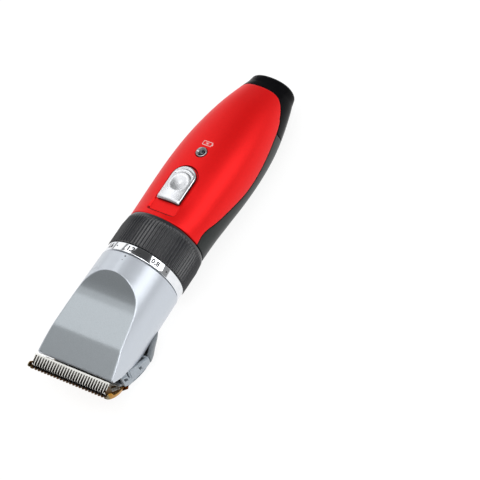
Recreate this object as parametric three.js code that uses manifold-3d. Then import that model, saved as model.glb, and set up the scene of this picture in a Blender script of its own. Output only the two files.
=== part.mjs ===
// Cordless hair clipper with a turning depth ring and a flip-down blade unit.
// Millimetres. +Y runs from the blade to the tail, +Z is the switch side, +X is the
// right-hand side. Inside the clipper group, y = 0 is the front face of the depth ring
// and x = z = 0 is the ring's axis; the group then stands the clipper on z = 0.

import * as THREE from 'three';
import { LoftGeometry } from 'three/addons/geometries/LoftGeometry.js';
import { mergeVertices } from 'three/addons/utils/BufferGeometryUtils.js';
import Module from 'manifold-3d';

const wasm = await Module();
wasm.setup();

// ---- driving dimensions ------------------------------------------------------------

const GAP = 0.3;                 // clearance between neighbouring pieces
const WALL = 2.0;                // moulded shell wall
const BASE_Z = -21.7;            // the surface the clipper lies on
const MIDDLE_Y = 30.0;           // middle of the clipper's length

const RING_R = 21.4;             // depth ring over its ribs
const RIB_COUNT = 76;
const RIB_DEPTH = 0.55;
const BAND_R = 21.1;             // chrome band in front of the ring
const BAND_END = 5.1;
const RING_START = 5.4;
const RIBS_END = 17.6;
const RING_END = 24.1;
const NECK_R = 16.8;             // chassis tube that the ring turns on

// Grip stations: y, half width, top, bottom. Every section is a superellipse.
const GRIP_STATIONS = [
  [24.5, 20.3, 19.1, -18.7],
  [34, 21.0, 17.9, -17.5],
  [48, 21.5, 17.8, -18.6],
  [62, 21.8, 17.4, -20.1],
  [76, 21.3, 16.4, -21.2],
  [90, 19.7, 14.5, -21.6],
  [102, 17.4, 12.1, -20.6],
  [112, 14.9, 8.9, -18.3],
  [119, 12.9, 6.2, -15.8],
  [123.4, 11.3, 4.2, -13.3],
  [124.5, 9.9, 2.8, -11.9],
];
const GRIP_POWER = 2.2;
const SOCKET_Z = -4.5;

// Side line, as y and z, where the coloured top shell meets the dark parts.
const SEAM = [
  [20, 5.0], [24.4, 5.0], [29.3, 5.9], [33.8, 5.3], [38, 3.8], [51.3, 0], [64, -2.8],
  [81.5, -2.8], [92.6, -1.9], [102, -1.2], [109, 0.7], [114, 3.0], [116, 5.2], [116.2, 7.2],
];
const CAP_LINE = [[98.3, -1.5], [103.5, -24]];   // where the tail cap meets the lower shell

// Head: radius grows slightly towards the blade, and a scooped face is cut across it.
const HEAD_START = -0.3;
const HEAD_END = -56.0;
const HEAD_R = 21.3;
const HEAD_END_R = 22.3;
const FACE = [
  [-8, 25.4], [-10, 23.2], [-11.4, 21.5], [-12.5, 20.3], [-14, 18.8], [-15.9, 17.0],
  [-17.9, 15.5], [-20.6, 14.0], [-24.8, 12.6], [-42.3, 9.1], [-56.0, 3.8],
];
const FLANK = [
  [-56.0, 1.9], [-49.9, -1.8], [-45.1, -3.5], [-38, -8.0], [-31.2, -12.1], [-26, -8.7],
  [-18.2, -8.7], [-18.2, -26],
];
const HEAD_WALL = 1.7;

// Blade plane: the fixed blade's outer face, rising towards the tips.
const TIP_Y = -64.5;
const TIP_Z = 0.15;
const BLADE_ANGLE = THREE.MathUtils.degToRad(43);
const FIXED_THICK = 1.6;
const FIXED_LENGTH = 20.5;
const FIXED_HALF = 23.6;
const FIXED_PITCH = 1.87;
const FIXED_GAPS = 23;
const FIXED_GAP = 0.85;
const FIXED_GAP_DEPTH = 6.5;
const MOVING_PITCH = 1.5;
const MOVING_GAPS = 29;
const MOVING_GAP = 0.68;
const MOVING_HALF = 21.9;
const STROKE = 1.0;              // moving blade, each way
const SCREW_X = 13.5;            // blade screws, across and along the blade plane
const SCREW_ALONG = 16.2;
const TOOTH_ROOT_Y = -58.9;
const CRANK_R = 1.0;
const PIN_R = 1.0;

const BATTERY_R = 7.1;
const MOTOR_R = 11;

// ---- colours -----------------------------------------------------------------------

const finish = (color, roughness, metalness = 0) =>
  new THREE.MeshStandardMaterial({ color, roughness, metalness });
const LOOK = {
  red: () => finish(0xe01a1c, 0.35),
  black: () => finish(0x2a2d2f, 0.4),
  glossBlack: () => finish(0x141516, 0.12),
  charcoal: () => finish(0x333437, 0.5),
  chrome: () => finish(0xd8dadc, 0.08, 1),
  silver: () => finish(0xc9ced6, 0.3, 0.4),
  greyPlastic: () => finish(0xa9b3ba, 0.45),
  darkGrey: () => finish(0x7c8287, 0.5),
  gold: () => finish(0xb8862a, 0.25, 1),
  ceramic: () => finish(0xe6e6e0, 0.3),
  steel: () => finish(0x9fa3a8, 0.3, 1),
  board: () => finish(0x1f6b3a, 0.6),
  cell: () => finish(0x2f7d4f, 0.45),
  lens: () => finish(0x401010, 0.1),
};

// ---- geometry helpers --------------------------------------------------------------

// A closed three.js geometry as a solid that can be cut and joined.
function solid(geometry) {
  const bare = new THREE.BufferGeometry();
  bare.setAttribute('position', geometry.getAttribute('position'));
  if (geometry.index) bare.setIndex(geometry.index);
  const merged = mergeVertices(bare, 1e-4);
  const triVerts = new Uint32Array(merged.index.array);
  const make = () => new wasm.Manifold(new wasm.Mesh({
    numProp: 3, vertProperties: merged.attributes.position.array, triVerts,
  }));
  const made = make();
  if (made.volume() > 0) return made;
  for (let i = 0; i < triVerts.length; i += 3) triVerts.subarray(i, i + 2).reverse();
  return make();
}

function geometryOf(body) {
  const mesh = body.getMesh();
  const geometry = new THREE.BufferGeometry();
  geometry.setAttribute('position', new THREE.BufferAttribute(mesh.vertProperties, 3));
  geometry.setIndex(new THREE.BufferAttribute(mesh.triVerts, 1));
  return geometry;
}

const box = (x0, x1, y0, y1, z0, z1) => solid(
  new THREE.BoxGeometry(x1 - x0, y1 - y0, z1 - z0)
    .translate((x0 + x1) / 2, (y0 + y1) / 2, (z0 + z1) / 2));

const rodY = (r, y0, y1, x = 0, z = 0, sides = 24) => solid(
  new THREE.CylinderGeometry(r, r, y1 - y0, sides).translate(x, (y0 + y1) / 2, z));

const rodZ = (r, z0, z1, x = 0, y = 0, sides = 24) => solid(
  new THREE.CylinderGeometry(r, r, z1 - z0, sides)
    .rotateX(Math.PI / 2).translate(x, y, (z0 + z1) / 2));

const outline = (points) => new THREE.Shape(points.map(([a, b]) => new THREE.Vector2(a, b)));

// Prism of a (y, z) outline along X.
function prismX(points, x0, x1) {
  const turn = new THREE.Matrix4().makeBasis(
    new THREE.Vector3(0, 1, 0), new THREE.Vector3(0, 0, 1), new THREE.Vector3(1, 0, 0));
  const flat = new THREE.ExtrudeGeometry(outline(points), { depth: x1 - x0, bevelEnabled: false });
  return solid(flat.applyMatrix4(turn).translate(x0, 0, 0));
}

// Prism of an (x, y) outline along Z.
const prismZ = (shape, z0, z1, curveSegments = 8) => solid(
  new THREE.ExtrudeGeometry(shape, { depth: z1 - z0, bevelEnabled: false, curveSegments })
    .translate(0, 0, z0));

// Turned body about the Y axis from a closed (radius, y) profile.
function turned(profile, sides = 48) {
  const points = [...profile, profile[0]].map(([r, y]) => new THREE.Vector2(r, y));
  return solid(new THREE.LatheGeometry(points, sides));
}

// One superellipse section of a lengthwise loft.
function section(y, half, top, bottom, power, count) {
  const middle = (top + bottom) / 2;
  const height = (top - bottom) / 2;
  const curve = (value) => Math.sign(value) * Math.abs(value) ** (2 / power);
  return Array.from({ length: count }, (_, i) => {
    const angle = -(i / count) * 2 * Math.PI;
    return new THREE.Vector3(
      half * curve(Math.cos(angle)), y, middle + height * curve(Math.sin(angle)));
  });
}

function lofted(stations, power, inset = 0, count = 40) {
  const rings = stations.map(([y, half, top, bottom]) =>
    section(y, half - inset, top - inset, bottom + inset, power, count));
  return solid(new LoftGeometry(rings, { capStart: true, capEnd: true }));
}

// Outline with four rounded corners, centred on x = 0.
function roundedPlan(half, y0, y1, frontR, rearR) {
  const shape = new THREE.Shape();
  shape.moveTo(-half + frontR, y0);
  shape.lineTo(half - frontR, y0);
  shape.absarc(half - frontR, y0 + frontR, frontR, -Math.PI / 2, 0);
  shape.absarc(half - rearR, y1 - rearR, rearR, 0, Math.PI / 2);
  shape.absarc(-half + rearR, y1 - rearR, rearR, Math.PI / 2, Math.PI);
  shape.absarc(-half + frontR, y0 + frontR, frontR, Math.PI, 1.5 * Math.PI);
  return shape;
}

// ---- the assembly ------------------------------------------------------------------

const clipper = new THREE.Group();
clipper.position.set(0, -MIDDLE_Y, -BASE_Z);

function add(name, body, material) {
  const mesh = new THREE.Mesh(geometryOf(body), material);
  mesh.name = name;
  clipper.add(mesh);
}

const shifted = (points, dy, dz) => points.map(([y, z]) => [y + dy, z + dz]);

// ---- grip shells -------------------------------------------------------------------

const SLIDER_REAR = 55.4;
const SLIDER_FRONT = 34.6;
const SLIDER_HALF = 6.6;
const TRACK_FRONT = 28.4;
const TRACK_FLOOR = 16.4;
const LED_Y = 65.7;
const FRONT_SCREW_Y = 31;
const REAR_SCREW_Y = 106;

function gripHollow() {
  const stations = GRIP_STATIONS.filter(([y]) => y < 120);
  const [, half, top, bottom] = stations[0];
  const open = [[20, half, top, bottom], ...stations, [121.5, 12.0, 5.2, -14.6]];
  return lofted(open, GRIP_POWER, WALL);
}

const gripShell = () => lofted(GRIP_STATIONS, GRIP_POWER).subtract(gripHollow());

function aboveSeam(offset) {
  const line = shifted(SEAM, 0, offset);
  const [endY] = SEAM[SEAM.length - 1];
  return prismX([...line, [endY - offset, 40], [20, 40]], -30, 30);
}

function behindCapLine(offset) {
  const [[y0, z0], [y1, z1]] = CAP_LINE;
  return prismX([[y0 + offset, z0 + 30], [y0 + offset, z0], [y1 + offset, z1], [140, -30],
    [140, 30]], -30, 30);
}

function topShell() {
  const track = roundedPlan(SLIDER_HALF + 0.6, TRACK_FRONT, SLIDER_REAR + 0.7, 1.0, 7.1);
  const stemSlot = box(-1.9, 1.9, 45.2, 53.9, 13, 19);
  const floor = lofted(GRIP_STATIONS, GRIP_POWER, 0.4)
    .intersect(box(-9.5, 9.5, 25.2, 58.5, 15.0, 20));
  const screwPost = rodZ(2.7, -11.5, 8.5, 0, REAR_SCREW_Y, 16);
  const screwHole = rodZ(1.3, -12, -7, 0, REAR_SCREW_Y, 12);
  const ledHole = rodZ(3.1, 13, 20, 0, LED_Y, 20);
  return gripShell().intersect(aboveSeam(GAP / 2)).add(floor).add(screwPost)
    .subtract(prismZ(track, TRACK_FLOOR, 22)).subtract(stemSlot)
    .subtract(screwHole).subtract(ledHole);
}

function lowerShell() {
  const screwSeat = rodZ(2.6, -22, -16.5, 0, FRONT_SCREW_Y, 16);
  const screwHole = rodZ(1.35, -17, -14, 0, FRONT_SCREW_Y, 12);
  return gripShell().subtract(aboveSeam(-GAP / 2)).subtract(behindCapLine(-GAP / 2))
    .subtract(screwSeat).subtract(screwHole);
}

function tailCap() {
  const socketHole = rodY(4.9, 115, 130, 0, SOCKET_Z, 28);
  const screwSeat = rodZ(2.6, -24, -18.5, 0, REAR_SCREW_Y, 16);
  const screwHole = rodZ(1.35, -20, -14, 0, REAR_SCREW_Y, 12);
  return gripShell().intersect(behindCapLine(GAP / 2)).subtract(aboveSeam(-GAP / 2))
    .subtract(socketHole).subtract(screwSeat).subtract(screwHole);
}

function shellScrew(y, headTop, length) {
  const head = rodZ(2.2, headTop - 1, headTop, 0, y, 16);
  const shank = rodZ(1.0, headTop - 0.1, headTop + length, 0, y, 12);
  const drive = box(-1.2, 1.2, y - 0.25, y + 0.25, headTop - 1.6, headTop - 0.5)
    .add(box(-0.25, 0.25, y - 1.2, y + 1.2, headTop - 1.6, headTop - 0.5));
  return head.add(shank).subtract(drive);
}

function addGrip() {
  add('top_shell', topShell(), LOOK.red());
  add('lower_shell', lowerShell(), LOOK.black());
  add('tail_cap', tailCap(), LOOK.glossBlack());
  add('shell_screw_front', shellScrew(FRONT_SCREW_Y, -16.8, 4.3), LOOK.steel());
  add('shell_screw_rear', shellScrew(REAR_SCREW_Y, -18.8, 10.4), LOOK.steel());
}

// ---- power switch ------------------------------------------------------------------

const SLIDER_TOP = 18.9;

function switchSlider() {
  const plan = roundedPlan(SLIDER_HALF, SLIDER_FRONT, SLIDER_REAR, 0.8, 6.5);
  const body = prismZ(plan, TRACK_FLOOR + GAP, SLIDER_TOP, 10);
  const dimple = solid(new THREE.SphereGeometry(9, 24, 24).translate(0, 45.4, SLIDER_TOP + 8.2));
  const grooves = [48.6, 51.0].map((y) =>
    box(-SLIDER_HALF - 1, SLIDER_HALF + 1, y, y + 0.7, SLIDER_TOP - 0.5, SLIDER_TOP + 1));
  return grooves.reduce((rest, groove) => rest.subtract(groove), body.subtract(dimple));
}

function sliderCarrier() {
  const stem = box(-1.6, 1.6, 50.5, 53.5, 13.5, TRACK_FLOOR + 0.05);
  const plate = box(-4.5, 4.5, 49.9, 54.6, 12.2, 14.7);
  const finger = box(-1.2, 1.2, 53.2, 54.6, 10.0, 12.4);
  return stem.add(plate).add(finger);
}

function addPowerSwitch() {
  add('switch_slider', switchSlider(), LOOK.chrome());
  add('slider_carrier', sliderCarrier(), LOOK.black());
}

// ---- charging lamp and socket -------------------------------------------------------

function addLampAndSocket() {
  const bezel = turned([[1.55, 14.2], [2.8, 14.2], [2.8, 17.6], [2.4, 17.9], [1.9, 17.7],
    [1.55, 17.2]], 28);
  const upright = (body, y) => body.rotate([90, 0, 0]).translate([0, y, 0]);
  add('lamp_bezel', upright(bezel, LED_Y), LOOK.chrome());
  add('lamp_lens', rodZ(1.25, 14.2, 17.3, 0, LED_Y, 20), LOOK.lens());
  const tube = turned([[2.75, 112], [4.6, 112], [4.6, 124.3], [2.75, 124.3]], 28);
  const floor = rodY(4.6, 110.6, 112.05, 0, 0, 28);
  add('charge_socket', tube.add(floor).translate([0, 0, SOCKET_Z]), LOOK.black());
  add('socket_pin', rodY(0.65, 112.35, 121.5, 0, SOCKET_Z, 12), LOOK.steel());
}

// ---- electrics ---------------------------------------------------------------------

function motorCan() {
  const can = rodY(MOTOR_R, 13.6, 40.9, 0, 0, 32);
  const boss = rodY(3.6, 11.6, 13.8, 0, 0, 20);
  return can.add(boss).subtract(rodY(1.35, 8, 24, 0, 0, 16));
}

function addElectrics() {
  add('circuit_board', box(-12, 12, 46, 84, 5.0, 6.6), LOOK.board());
  add('power_microswitch', box(-4, 4, 46.5, 52.8, 6.9, 9.7), LOOK.black());
  add('charge_lamp', rodZ(1.5, 6.9, 13.6, 0, LED_Y, 16), LOOK.lens());
  add('capacitor', rodZ(3.0, 6.9, 12.6, -6.5, 75, 20), LOOK.black());
  add('control_chip', box(2, 9, 72, 77, 6.9, 8.6), LOOK.black());
  for (const [side, x] of [['left', -7.4], ['right', 7.4]]) {
    const nub = rodY(2.4, 50.2, 51.1, x, -5.5, 16);
    add(`battery_${side}`, rodY(BATTERY_R, 51, 100, x, -5.5, 28).add(nub), LOOK.cell());
    add(`battery_tab_${side}`, box(x - 2.2, x + 2.2, 49.5, 49.9, -7.5, 4.6), LOOK.steel());
  }
  add('battery_strap', box(-11, 11, 100.3, 100.7, -7.5, -3.5), LOOK.steel());
  add('motor_can', motorCan(), LOOK.steel());
  add('motor_end_cap', rodY(MOTOR_R, 41.2, 43.6, 0, 0, 32), LOOK.black());
}

// ---- chassis and depth ring ---------------------------------------------------------

const CARRIER_R = 14.6;          // rear of the chassis, inside the grip
const DETENT_Y = 4.0;

function chassis() {
  const tube = turned([
    [9.5, -9.5], [NECK_R, -9.5], [NECK_R, 24.2], [CARRIER_R, 24.2], [CARRIER_R, 44.2],
    [MOTOR_R + GAP, 44.2], [MOTOR_R + GAP, 13.3], [3.9, 13.3], [3.9, 11.0], [9.5, 11.0],
  ]);
  const rodSlots = box(12.2, 15.8, -10, 9, -3.4, 3.4).add(box(-15.8, -12.2, -10, 9, -3.4, 3.4));
  const rodMouths = box(-18, 18, -0.5, 6.5, -2.4, 2.4);
  const detentPocket = rodZ(1.5, -18, -12.6, 0, DETENT_Y, 16);
  const screwHole = rodZ(1.3, -16, -11.9, 0, FRONT_SCREW_Y, 12);
  return tube.subtract(rodSlots).subtract(rodMouths).subtract(detentPocket).subtract(screwHole);
}

function ribbedRing() {
  const count = RIB_COUNT * 2;
  const ring = (y, crest, valley) => Array.from({ length: count }, (_, i) => {
    const angle = -(i / count) * 2 * Math.PI;
    const r = i % 2 ? crest : valley;
    return new THREE.Vector3(r * Math.cos(angle), y, r * Math.sin(angle));
  });
  const valley = RING_R - RIB_DEPTH;
  const rows = [
    ring(RING_START, RING_R, valley), ring(RIBS_END, RING_R, valley),
    ring(RIBS_END + 1.4, RING_R - 0.25, RING_R - 0.25), ring(22.6, 20.8, 20.8),
    ring(RING_END, 20.2, 20.2),
  ];
  return solid(new LoftGeometry(rows, { capStart: true, capEnd: true }))
    .subtract(rodY(NECK_R + GAP, 0, 30, 0, 0, 48));
}

function camRing() {
  const ring = turned([[NECK_R + GAP, 0.3], [19.2, 0.3], [19.2, BAND_END - 0.2],
    [NECK_R + GAP, BAND_END - 0.2]]);
  return [0, 25, 50, 75].reduce((rest, angle) => rest.subtract(
    rodZ(1.3, -20, -16, 0, DETENT_Y, 10).rotate([0, -angle, 0])), ring);
}

function detentSpring() {
  const turns = 3;
  const points = Array.from({ length: turns * 8 + 1 }, (_, i) => {
    const angle = (i / 8) * 2 * Math.PI;
    return new THREE.Vector3(0.9 * Math.cos(angle), DETENT_Y + 0.9 * Math.sin(angle),
      -12.9 - (i / (turns * 8)) * 1.6);
  });
  const wire = new THREE.Shape().absarc(0, 0, 0.17, 0, 2 * Math.PI);
  const path = new THREE.CatmullRomCurve3(points);
  return solid(new THREE.ExtrudeGeometry(wire,
    { extrudePath: path, steps: 30, curveSegments: 3, bevelEnabled: false }));
}

function addNeck() {
  const band = turned([[19.5, 0.15], [20.7, 0.15], [BAND_R, 0.55], [BAND_R, 4.7], [20.8, BAND_END],
    [19.5, BAND_END]], 72);
  add('chassis', chassis(), LOOK.black());
  add('depth_ring', ribbedRing(), LOOK.charcoal());
  add('depth_band', band, LOOK.chrome());
  add('depth_cam', camRing(), LOOK.black());
  add('detent_spring', detentSpring(), LOOK.steel());
  const ball = new THREE.SphereGeometry(1.15, 12, 10).translate(0, DETENT_Y, -15.9);
  add('detent_ball', solid(ball), LOOK.steel());
}

// ---- head --------------------------------------------------------------------------

const headRadius = (y) => HEAD_R + ((HEAD_END_R - HEAD_R) * (HEAD_START - y)) / 55.7;

// Turned head form, inset from the outer surface.
const headForm = (y0, y1, inset) => turned([[0, y0], [headRadius(y0) - inset, y0],
  [headRadius(y1) - inset, y1], [0, y1]], 64);

// Everything under the scooped face, inset downwards, over the flank's lower edge.
function underFace(drop) {
  const face = shifted(FACE, 0, -drop);
  return prismX([[10, 26], ...face, [-70, 3.8 - drop], [-70, -40], [10, -40]], -30, 30);
}

function headHousing() {
  const flankCut = prismX([[-70, 1.9], ...FLANK, [-70, -26]], -30, 30);
  const outside = headForm(HEAD_END, HEAD_START, 0).intersect(underFace(0));
  const hollow = headForm(-60, -9.8, HEAD_WALL).intersect(underFace(HEAD_WALL));
  const bore = rodY(NECK_R + GAP, -12, 3, 0, 0, 64);
  return outside.subtract(hollow).subtract(bore).subtract(flankCut);
}

// ---- drive -------------------------------------------------------------------------

const CAM_FRONT = -40.0;
const PIN_FRONT = -43.8;

function addDrive() {
  add('motor_shaft', rodY(1.0, CAM_FRONT + 6, 20, 0, 0, 16), LOOK.steel());
  const cam = rodY(3.2, CAM_FRONT, CAM_FRONT + 5.7, 0, 0, 24);
  const pin = rodY(PIN_R, PIN_FRONT, CAM_FRONT + 0.5, 0, CRANK_R, 16);
  add('eccentric_cam', cam.add(pin), LOOK.steel());
}

// Two push rods behind a yoke carry the ring's setting forward to the blade carriage.
function depthYoke() {
  const rods = [14, -14].map((x) => box(x - 1.5, x + 1.5, -43.6, 4.6, -2.0, 2.0));
  const bridge = box(-15.5, 15.5, -24, -21, -5.4, -3.4);
  const links = [14, -14].map((x) => box(x - 1.5, x + 1.5, -24, -21, -3.6, -1.9));
  const lugs = [16, -16].map((x) => box(x - 0.6, x + 0.6, 0.4, 4.6, -1.4, 1.4));
  return [...rods, ...links, ...lugs].reduce((all, one) => all.add(one), bridge);
}

// ---- blade unit --------------------------------------------------------------------

// A point of the blade plane: along from the tips towards the rear, up off the outer face.
const onBlade = (along, up) => [
  TIP_Y + along * Math.cos(BLADE_ANGLE) + up * Math.sin(BLADE_ANGLE),
  TIP_Z - along * Math.sin(BLADE_ANGLE) + up * Math.cos(BLADE_ANGLE),
];

// Turns a piece drawn flat, x across and y along the blade, into the blade plane.
const onBladeTurn = (body) => body
  .rotate([-THREE.MathUtils.radToDeg(BLADE_ANGLE), 0, 0]).translate([0, TIP_Y, TIP_Z]);

function fixedBlade() {
  const plan = new THREE.Shape();
  const half = FIXED_HALF;
  const rear = 18.5;
  plan.moveTo(-half + 2.2, 0);
  plan.lineTo(half - 2.2, 0);
  plan.quadraticCurveTo(half, 0.2, half, 3.0);
  plan.quadraticCurveTo(half, 9.5, rear, FIXED_LENGTH);
  plan.lineTo(-rear, FIXED_LENGTH);
  plan.quadraticCurveTo(-half, 9.5, -half, 3.0);
  plan.quadraticCurveTo(-half, 0.2, -half + 2.2, 0);
  let plate = prismZ(plan, 0, FIXED_THICK, 6);
  for (let k = 0; k < FIXED_GAPS; k++) {
    const x = (k - (FIXED_GAPS - 1) / 2) * FIXED_PITCH;
    plate = plate.subtract(
      box(x - FIXED_GAP / 2, x + FIXED_GAP / 2, -1, FIXED_GAP_DEPTH, -1, 3));
  }
  for (const x of [-SCREW_X, SCREW_X]) {
    plate = plate.subtract(rodZ(1.5, -1, 3, x, SCREW_ALONG, 12));
  }
  const tipBevel = prismX([[-1, -1], [2.4, -0.2], [2.4, -1]], -30, 30)
    .add(prismX([[-1, 0.9], [0.1, 0.9], [1.2, 2], [-1, 2]], -30, 30));
  return onBladeTurn(plate.subtract(tipBevel)).add(endGuard(-1)).add(endGuard(1));
}

// Raised leaf at each end of the fixed blade, beside the moving teeth.
function endGuard(side) {
  const [low, high] = [FIXED_HALF - 0.55, FIXED_HALF];
  const leaf = [onBlade(0.6, 0.5), [-64.3, 1.7], [-63.3, 2.5], [-62.0, 2.3], [-60.6, 0.6],
    onBlade(5.6, 1.0)];
  return side > 0 ? prismX(leaf, low, high) : prismX(leaf, -high, -low);
}

function movingBlade() {
  const heel = onBlade(13.2, FIXED_THICK + GAP);
  const foot = onBlade(0.9, FIXED_THICK + GAP);
  const ridge = [-57.4, 1.3];
  const profile = [foot, [-62.7, 1.6], [-62.7, 2.4], [-62.3, 2.8], [-57.9, 4.35], [-57.6, 4.2],
    ridge, [-53.9, -4.2], heel];
  let blade = prismX(profile, -MOVING_HALF, MOVING_HALF);
  for (let k = 0; k < MOVING_GAPS; k++) {
    const x = (k - (MOVING_GAPS - 1) / 2) * MOVING_PITCH;
    blade = blade.subtract(
      box(x - MOVING_GAP / 2, x + MOVING_GAP / 2, -70, TOOTH_ROOT_Y, -10, 10));
  }
  const shoulder = 18.6;
  for (const side of [-1, 1]) {
    const outer = side > 0 ? [shoulder, 30] : [-30, -shoulder];
    blade = blade.subtract(box(...outer, -57.5, -40, -15, 10));
    blade = blade.subtract(endUndercut(side));
  }
  return blade;
}

// Wedge that leans the moving blade's end face inwards below its upper edge.
function endUndercut(side) {
  const rise = Math.atan2(4.35 - 2.8, 62.3 - 57.9);
  const wedge = new THREE.Shape();
  wedge.moveTo(MOVING_HALF, -0.5);
  wedge.lineTo(MOVING_HALF + 6, -0.5);
  wedge.lineTo(MOVING_HALF + 6, -5);
  wedge.lineTo(MOVING_HALF - 3.4, -5);
  const body = prismZ(wedge, -1, 9).rotate([90 + THREE.MathUtils.radToDeg(rise), 0, 0])
    .translate([0, -57.9, 4.35]);
  return side > 0 ? body : body.mirror([1, 0, 0]);
}

function bladeDriver() {
  const profile = [[-55.7, -0.6], [-53.0, -4.8], [-41.2, -4.8], [-41.2, 3.4], [-44.6, 3.4],
    [-44.6, -1.5], [-52.6, -1.5], [-54.8, 0.2]];
  const slotHalf = PIN_R + CRANK_R + STROKE + 0.15;
  return prismX(profile, -5.6, 5.6).subtract(box(-slotHalf, slotHalf, -46, -40, -3.3, 6));
}

// Carriage behind the moving blade, which the yoke's rods meet end to end.
function bladeCarriage() {
  const bar = box(-16.5, 16.5, -49.2, -46.8, -9.2, -5.6);
  const arms = [14.2, -14.2].map((x) =>
    prismX([[-49.2, -9.2], [-46.8, -9.2], [-44.6, -4.5], [-44.6, 2.0], [-46.8, 2.0],
      [-46.8, -3.6], [-51.9, -5.6], [-51.9, -7.0]], x - 2.2, x + 2.2));
  return arms.reduce((all, arm) => all.add(arm), bar);
}

// Open tray that holds the blades: y, half width, top, bottom of its outer form.
const FRAME_STATIONS = [
  [-51.0, 20.9, 6, -17.4],
  [-46, 21.4, 5, -18.9],
  [-40, 21.8, 4, -20.9],
  [-34, 21.9, 2, -21.6],
  [-31.4, 21.9, 2, -21.6],
];
const FRAME_POWER = 3.6;

function bladeFrame() {
  const outer = lofted(FRAME_STATIONS, FRAME_POWER, 0, 40);
  const innerStations = FRAME_STATIONS.map(([y, ...sizes], i) =>
    [i === 0 ? -53 : i === 4 ? -33.0 : y, ...sizes]);
  const inner = lofted(innerStations, FRAME_POWER, 1.7, 40);
  const flank = shifted(FLANK.slice(0, 5), 0, -GAP);
  const over = prismX([[-60, 10], [-60, 1.9], ...flank, [-29, -13.4], [-29, 10]], -30, 30);
  const bladeSeat = prismX([onBlade(FIXED_LENGTH + GAP, -GAP),
    onBlade(FIXED_LENGTH + GAP, FIXED_THICK + GAP), onBlade(17.4, FIXED_THICK + GAP), [-50.3, 8],
    [-70, 8], [-70, -1], onBlade(8, -GAP)], -30, 30);
  const window = prismX([[-45.4, -14.0], [-45.2, -13.2], [-32.4, -16.8], [-32.4, -18.7]], -30, 30);
  const notches = prismX([[-46.6, -8.3], [-46.0, -8.3], [-45.4, 0], [-47.0, 0]], -30, 30)
    .add(prismX([[-39.4, -11.8], [-37.8, -11.8], [-37.8, -9.3], [-39.4, -9.3]], -30, 30));
  return outer.subtract(inner).subtract(over).subtract(bladeSeat).subtract(window)
    .subtract(notches).add(screwLedge(-1)).add(screwLedge(1));
}

// Ledge behind the fixed blade that one blade screw bites into.
function screwLedge(side) {
  const low = FIXED_THICK + GAP;
  const block = prismX([onBlade(14.8, low), onBlade(22.5, low), onBlade(22.5, low + 1.1),
    onBlade(14.8, low + 1.1)], 10.6, 19);
  const hole = onBladeTurn(rodZ(1.3, -1, 6, SCREW_X, SCREW_ALONG, 12));
  return side > 0 ? block.subtract(hole) : block.subtract(hole).mirror([1, 0, 0]);
}

// Heel sections, from the head's round form forward to the tray's squarer one:
// y, half width, top, bottom, power.
const HEEL_STATIONS = [
  [-31.1, 21.9, 2, -22.1, 3.6],
  [-28.5, 21.9, 5, -22.2, 3.3],
  [-25, 21.9, 12, -22.2, 2.7],
  [-21, 21.8, 18, -22.1, 2.3],
  [-18.5, 21.7, 21.7, -21.9, 2],
];

function frameHeel() {
  const round = solid(new LoftGeometry(
    HEEL_STATIONS.map((sizes) => section(...sizes, 56)), { capStart: true, capEnd: true }));
  const side = prismX([[-31.1, -12.8], [-26, -9.0], [-18.5, -9.0], [-18.5, -18.8], [-20.4, -22.6],
    [-31.1, -30]], -30, 30);
  const hollow = rodY(19.6, -29.5, -20.2, 0, 0, 32).intersect(box(-30, 30, -30, -20.2, -19.4, 5));
  const flat = box(-30, 30, -40, -10, BASE_Z, 5);
  return round.intersect(side).intersect(flat).subtract(hollow);
}

function bladeScrew(x) {
  const head = rodZ(2.3, -1.6, -0.35, x, SCREW_ALONG, 16);
  const shank = rodZ(1.1, -0.4, 2.9, x, SCREW_ALONG, 12);
  const drive = box(x - 1.5, x + 1.5, SCREW_ALONG - 0.25, SCREW_ALONG + 0.25, -2, -1.1);
  return onBladeTurn(head.add(shank).subtract(drive));
}

function bladeSpring(x) {
  const side = Math.sign(x);
  const points = [[x, -38.5, -12.5], [x, -43.5, -12.0], [x + side * 0.5, -46.5, -11.2],
    [x + side * 0.8, -49.4, -10.4]].map((p) => new THREE.Vector3(...p));
  const wire = new THREE.Shape().absarc(0, 0, 0.45, 0, 2 * Math.PI);
  return solid(new THREE.ExtrudeGeometry(wire, {
    extrudePath: new THREE.CatmullRomCurve3(points), steps: 10, curveSegments: 4,
    bevelEnabled: false }));
}

function addHead() {
  add('head_housing', headHousing(), LOOK.silver());
  add('depth_yoke', depthYoke(), LOOK.black());
}

function addBladeUnit() {
  add('blade_frame', bladeFrame(), LOOK.greyPlastic());
  add('frame_heel', frameHeel(), LOOK.darkGrey());
  add('fixed_blade', fixedBlade(), LOOK.gold());
  add('moving_blade', movingBlade(), LOOK.ceramic());
  add('blade_driver', bladeDriver(), LOOK.black());
  add('blade_carriage', bladeCarriage(), LOOK.black());
  for (const [side, sign] of [['left', -1], ['right', 1]]) {
    add(`blade_screw_${side}`, bladeScrew(sign * SCREW_X), LOOK.steel());
    add(`blade_spring_${side}`, bladeSpring(sign * 9), LOOK.steel());
  }
}

addGrip();
addPowerSwitch();
addLampAndSocket();
addElectrics();
addNeck();
addHead();
addDrive();
addBladeUnit();

export default clipper;
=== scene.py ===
"""Looks for a cordless hair clipper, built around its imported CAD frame.

Shapes are worked out in millimetres in the ring frame: y = 0 is the front face of the
depth ring, x = z = 0 its axis, +Y runs to the tail and +Z to the switch side. place()
turns ring-frame millimetres into the row frame's metres.
"""
import math

import bmesh
import bpy
import numpy as np
from mathutils import Matrix, Vector


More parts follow.
